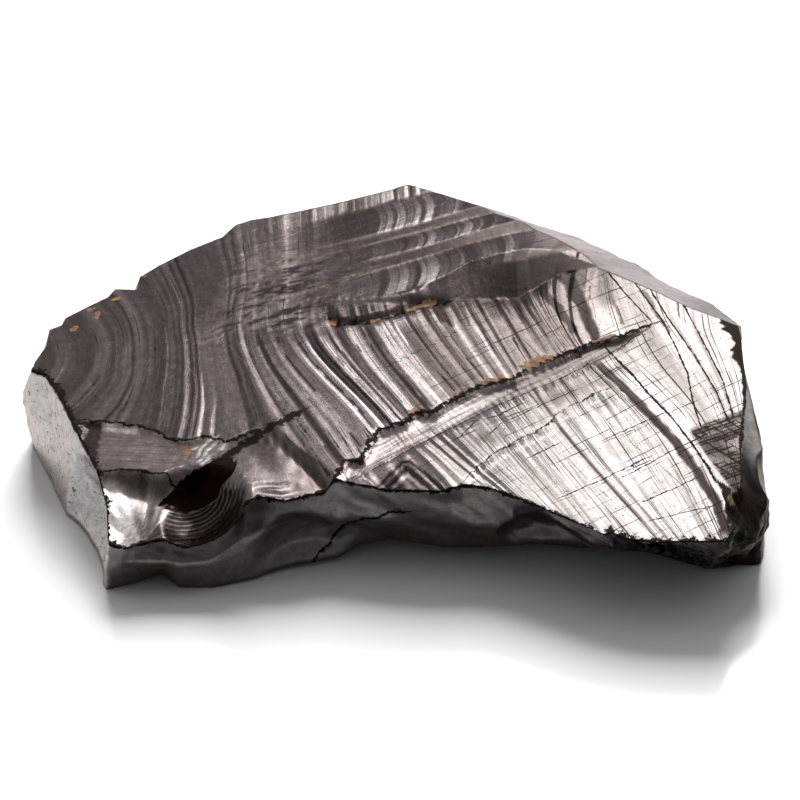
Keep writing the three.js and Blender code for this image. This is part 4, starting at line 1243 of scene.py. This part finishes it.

# %% [markdown]
# ## The finish
#
# Glassy shungite is nearly all carbon, and it shines like a dark metal: a mirror that gives back about
# an eighth of the light, a little pink. That is a metallic surface with a dark colour. Dust and rust
# are not mirrors: they scatter what little light they return, so they come in over the shine as masks.

# %% Colours, and how wide each stored crack is drawn: its half width, and how much it wanders
# Painted light: DIMMED is painted shade, PALE painted reflection, the near-white one painted highlights.
STONE, SMOOTH, DIMMED = (0.138, 0.118, 0.115), (0.138, 0.115, 0.114), (0.148, 0.114, 0.107)
SILVER, SIDE, PALE = (0.158, 0.147, 0.143), (0.165, 0.156, 0.156), (0.47, 0.461, 0.461)
HIGHLIGHT_PAINT, SHEEN = (0.88, 0.83, 0.83), (0.95, 0.87, 0.85, 1.0)
DUST, HOLLOW = (0.009, 0.007, 0.006), (0.006, 0.0028, 0.002)
RUST_DARK, RUST_LIGHT = (0.03, 0.012, 0.003), (0.2, 0.086, 0.018)
CRACKS = {
    "ledge": (0.24, 1), "lower_ledge": (0.07, 1), "corner_crack": (0.14, 1), "fan_crack": (0.13, 1),
    "pit": (0.3, 1), "thick_crack": (0.55, 1), "strip_edge": (0.07, 0.35), "cross": (0.06, 0.35),
    "front_step": (0.17, 1), "front_cracks": (0.09, 0.12), "groove_crack": (0.13, 0.12),
}


# %% Blends
def blend(share, first, second):
    """A blend of two numbers, by a share from 0 to 1."""
    return add(share.tree, "Mix", {0: share, 2: first, 3: second})


def tint(share, first, second):
    """A blend of two colours, by a share from 0 to 1."""
    return add(share.tree, "Mix", {0: share, 6: first, 7: second}, 2, data_type="RGBA")


def scaled(vector, size):
    """A place or a colour, times a number."""
    return add(vector.tree, "VectorMath", {0: vector, "Scale": size}, operation="SCALE")


def even(value, low, high):
    """Noise spread out evenly from low to high."""
    return value.ranged(0.3, 0.7, low, high)


def crack_line(distance, width, grime):
    """1 inside a line of about this width, with a ragged edge, and 0 outside it."""
    share = distance.math("ABSOLUTE") / even(grime, 0.25 * width, 1.75 * width)
    return share.ranged(0.7, 1.2, 1, 0)


# %% [markdown]
# ## Putting the finish together
#
# Three things are made of the marks: dirt, which is 1 where something dull lies on the shine; tone,
# which dims the shine or lifts it; and relief too fine for the mesh. The rest is blending. A painted
# picture could carry all this too, but numbers and noise stay sharp however near the eye comes.


# %% What dirt, tone and relief share
class Skin:
    """The marks and noises of the stone's surface, as values in one node tree."""

    def __init__(self, tree):
        self.tree = tree
        self.at = scaled(add(tree, "TexCoord", {}, "Object"), 1 / MM)
        self.mark = {name: add(tree, "Attribute", {}, "Fac", attribute_name=name) for name in marks}
        self.run, self.along = self.mark["crack_run"], self.mark["crack_along"]
        self.lines = noise(combine(self.run * 5.0, self.along * 0.25), 1.0, 4.0, 0.6)
        self.grime = noise(self.at, 1.6, 5.0, 0.65)
        self.torn = noise(stretched(self.at, 18, (3.0, 0.35, 1)), 1.0, 4.0, 0.7)
        self.lumps = noise(self.at, 1.4, 6.0, 0.75)
        off_ledge = combine(self.mark["strip_edge"] * 2.2, self.at.part("X") * 0.16)
        self.beside_ledge = noise(off_ledge, 1.0, 4.0, 0.6)
        self.quiet = self.mark["calm"].ranged(0, 1, 1, 0.15)
        self.top_only = self.mark["side"] * -1 + 1


def fine_cracks(skin):
    """1 in the hairlines, the hatched corner and the thin lines along the fronts."""
    place_and_run = {"Place": skin.at, "Run": combine(skin.along * 0.45, skin.run)}
    hairline = add(skin.tree, "Group", place_and_run, "Crack", node_tree=hairlines)
    return largest(
        hairline * (skin.mark["checked"] * skin.quiet), hairline.other("Hatch") * skin.mark["hatched"],
        hairline.other("Line") * skin.mark["plain"] * skin.quiet,
    )


# %% Dirt
def dust_in_cracks(skin, cracks):
    """1 where dust lies in the fine cracks, the torn streaks and the stored cracks."""
    mark = skin.mark
    thin = noise(combine(skin.run * 3.0, skin.along * 0.09), 1.0, 2.0, 0.5).ranged(0.58, 0.66)
    thin = thin * (skin.quiet * skin.top_only) * mark["plain"].ranged(0, 1, 1, 0.3)
    torn = skin.torn.ranged(0.5, 0.7) * mark["hackle"] * 0.8
    dust = largest(mark["dust"], cracks * 0.85, torn, thin * 0.62)
    dust = (dust + even(skin.grime, -0.15, 0.15)).ranged(0.35, 0.75)
    sway = even(noise(skin.at, 0.9, 5.0, 0.7), -0.3, 0.3)
    for name, (width, share) in CRACKS.items():
        line = crack_line(mark[name] + sway * share, width, skin.grime)
        dust = largest(dust, line if name == "front_step" else line * skin.top_only)
    return dust


def pits_and_crumbs(skin):
    """1 in the crumbled corner, along the dusty rim, in the pores and in the left facet's holes."""
    at, mark = skin.at, skin.mark
    crumbs = noise(at, 1.1, 5.0, 0.75).ranged(0.42, 0.72, 0.12, 1.5) * mark["crumbly"]
    pores = add(skin.tree, "TexVoronoi", {"Vector": at, "Scale": 1.1}, "Distance").ranged(0.07, 0.11, 0.7, 0)
    holes = noise(stretched(at, -62, (0.9, 0.4, 0.6)), 1.6, 2.0, 0.5).ranged(0.62, 0.68, 0, 0.7)
    return largest(
        skin.lumps.ranged(0.42, 0.55) * mark["crumbled"], (mark["to_rim"] / crumbs).ranged(0.8, 1.1, 1, 0),
        pores * noise(at, 0.4).ranged(0.45, 0.6), holes * mark["pale"],
    )


# %% Tone
def tone_of_shine(skin):
    """Uneven shine, scratched on the ledge's strip, dimmed by painted shade, with painted rings by the
    hollow.
    """
    at, mark = skin.at, skin.mark
    blotches = blend(mark["plain"] * 0.65, even(noise(at, 1.1, 6.0, 0.7), 0.66, 1.18), 1.0)
    grain = even(noise(at, 6.0, 3.0, 0.7), 0.84, 1.14)
    scratches = blend(
        mark["streaky"], skin.lines.ranged(0.35, 0.65, 0.82, 1.12),
        skin.beside_ledge.ranged(0.36, 0.6, 0.5, 1.6),
    )
    over_strip = noise(stretched(at, -7, (5.0, 0.35, 1)), 1.0, 4.0, 0.6).ranged(0.35, 0.65, 0.85, 1.6)
    tone = blotches * grain * blend(mark["strip"], scratches, over_strip)
    tone = tone * mark["shade"].ranged(0, 1, 1, 0.03) ** 1.6
    # Painted reflection: dark and light rings below the hollow, for the shell ripples' mirrored light and
    # dark.
    rings = mark["shell_reach"] * 15.0 + even(noise(at, 0.5), -1.3, 1.3)
    return tone * blend(mark["shells"], 1.0, rings.math("SINE").ranged(0.2, 1, 0.05, 0.4))


# %% Colour
def stone_color(skin, dirt, rust):
    """Zone colours, painted shade and highlights among them, times tone; then dust, dark hollow and rust."""
    color = STONE
    for name, next_color in (
        ("calm", SMOOTH), ("plain", SILVER), ("shade", DIMMED), ("side", SIDE), ("pale", PALE),
        ("painted_highlight", HIGHLIGHT_PAINT),
    ):
        color = tint(skin.mark[name], color, next_color)
    color = tint(dirt, scaled(color, tone_of_shine(skin)), DUST)
    color = tint(skin.mark["hollow"].ranged(0.3, 0.6), color, HOLLOW)
    return tint(rust, color, tint(skin.grime.ranged(0.35, 0.65), RUST_DARK, RUST_LIGHT))


# %% Relief
def fine_relief(skin, cracks):
    """Relief too fine for the mesh, in millimetres."""
    mark, lines = skin.mark, skin.lines
    relief = lines * (skin.quiet * mark["plain"].ranged(0, 1, 1, 0.35) * 0.01) + skin.grime * 0.006
    relief = relief - cracks * 0.03 + skin.torn * (mark["hackle"] * 0.08)
    relief = relief + skin.beside_ledge * (mark["streaky"] * 0.05)
    return relief + skin.lumps * (mark["crumbled"] * 0.5)


# %% Material
def shungite_material():
    """A dark metallic shine, with dust, rust, hairline cracks and fine marks of the break."""
    material, shader = new_material("shungite")
    skin = Skin(material.node_tree)
    cracks = fine_cracks(skin)
    dirt = largest(dust_in_cracks(skin, cracks), pits_and_crumbs(skin))
    rust = (skin.mark["rust"] + even(skin.grime, -0.3, 0.3)).ranged(0.4, 0.6)
    gloss = even(skin.grime, 0.16, 0.28) + skin.mark["side"] * 0.14 + skin.mark["hackle"] * 0.12
    results = {
        "Base Color": stone_color(skin, dirt, rust), "Metallic": rust * -1 + 1,
        "Roughness": blend(largest(dirt, rust), gloss, 0.6),
        "Normal": add(skin.tree, "Bump", {"Height": fine_relief(skin, cracks), "Distance": MM}),
    }
    for name, value in results.items():
        skin.tree.links.new(value.socket, shader.inputs[name])
    shader.inputs["Specular Tint"].default_value = SHEEN
    return material


mesh.materials.append(shungite_material())
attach(stone, "root")
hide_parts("stone")
print("nodes in the finish:", len(mesh.materials[0].node_tree.nodes))
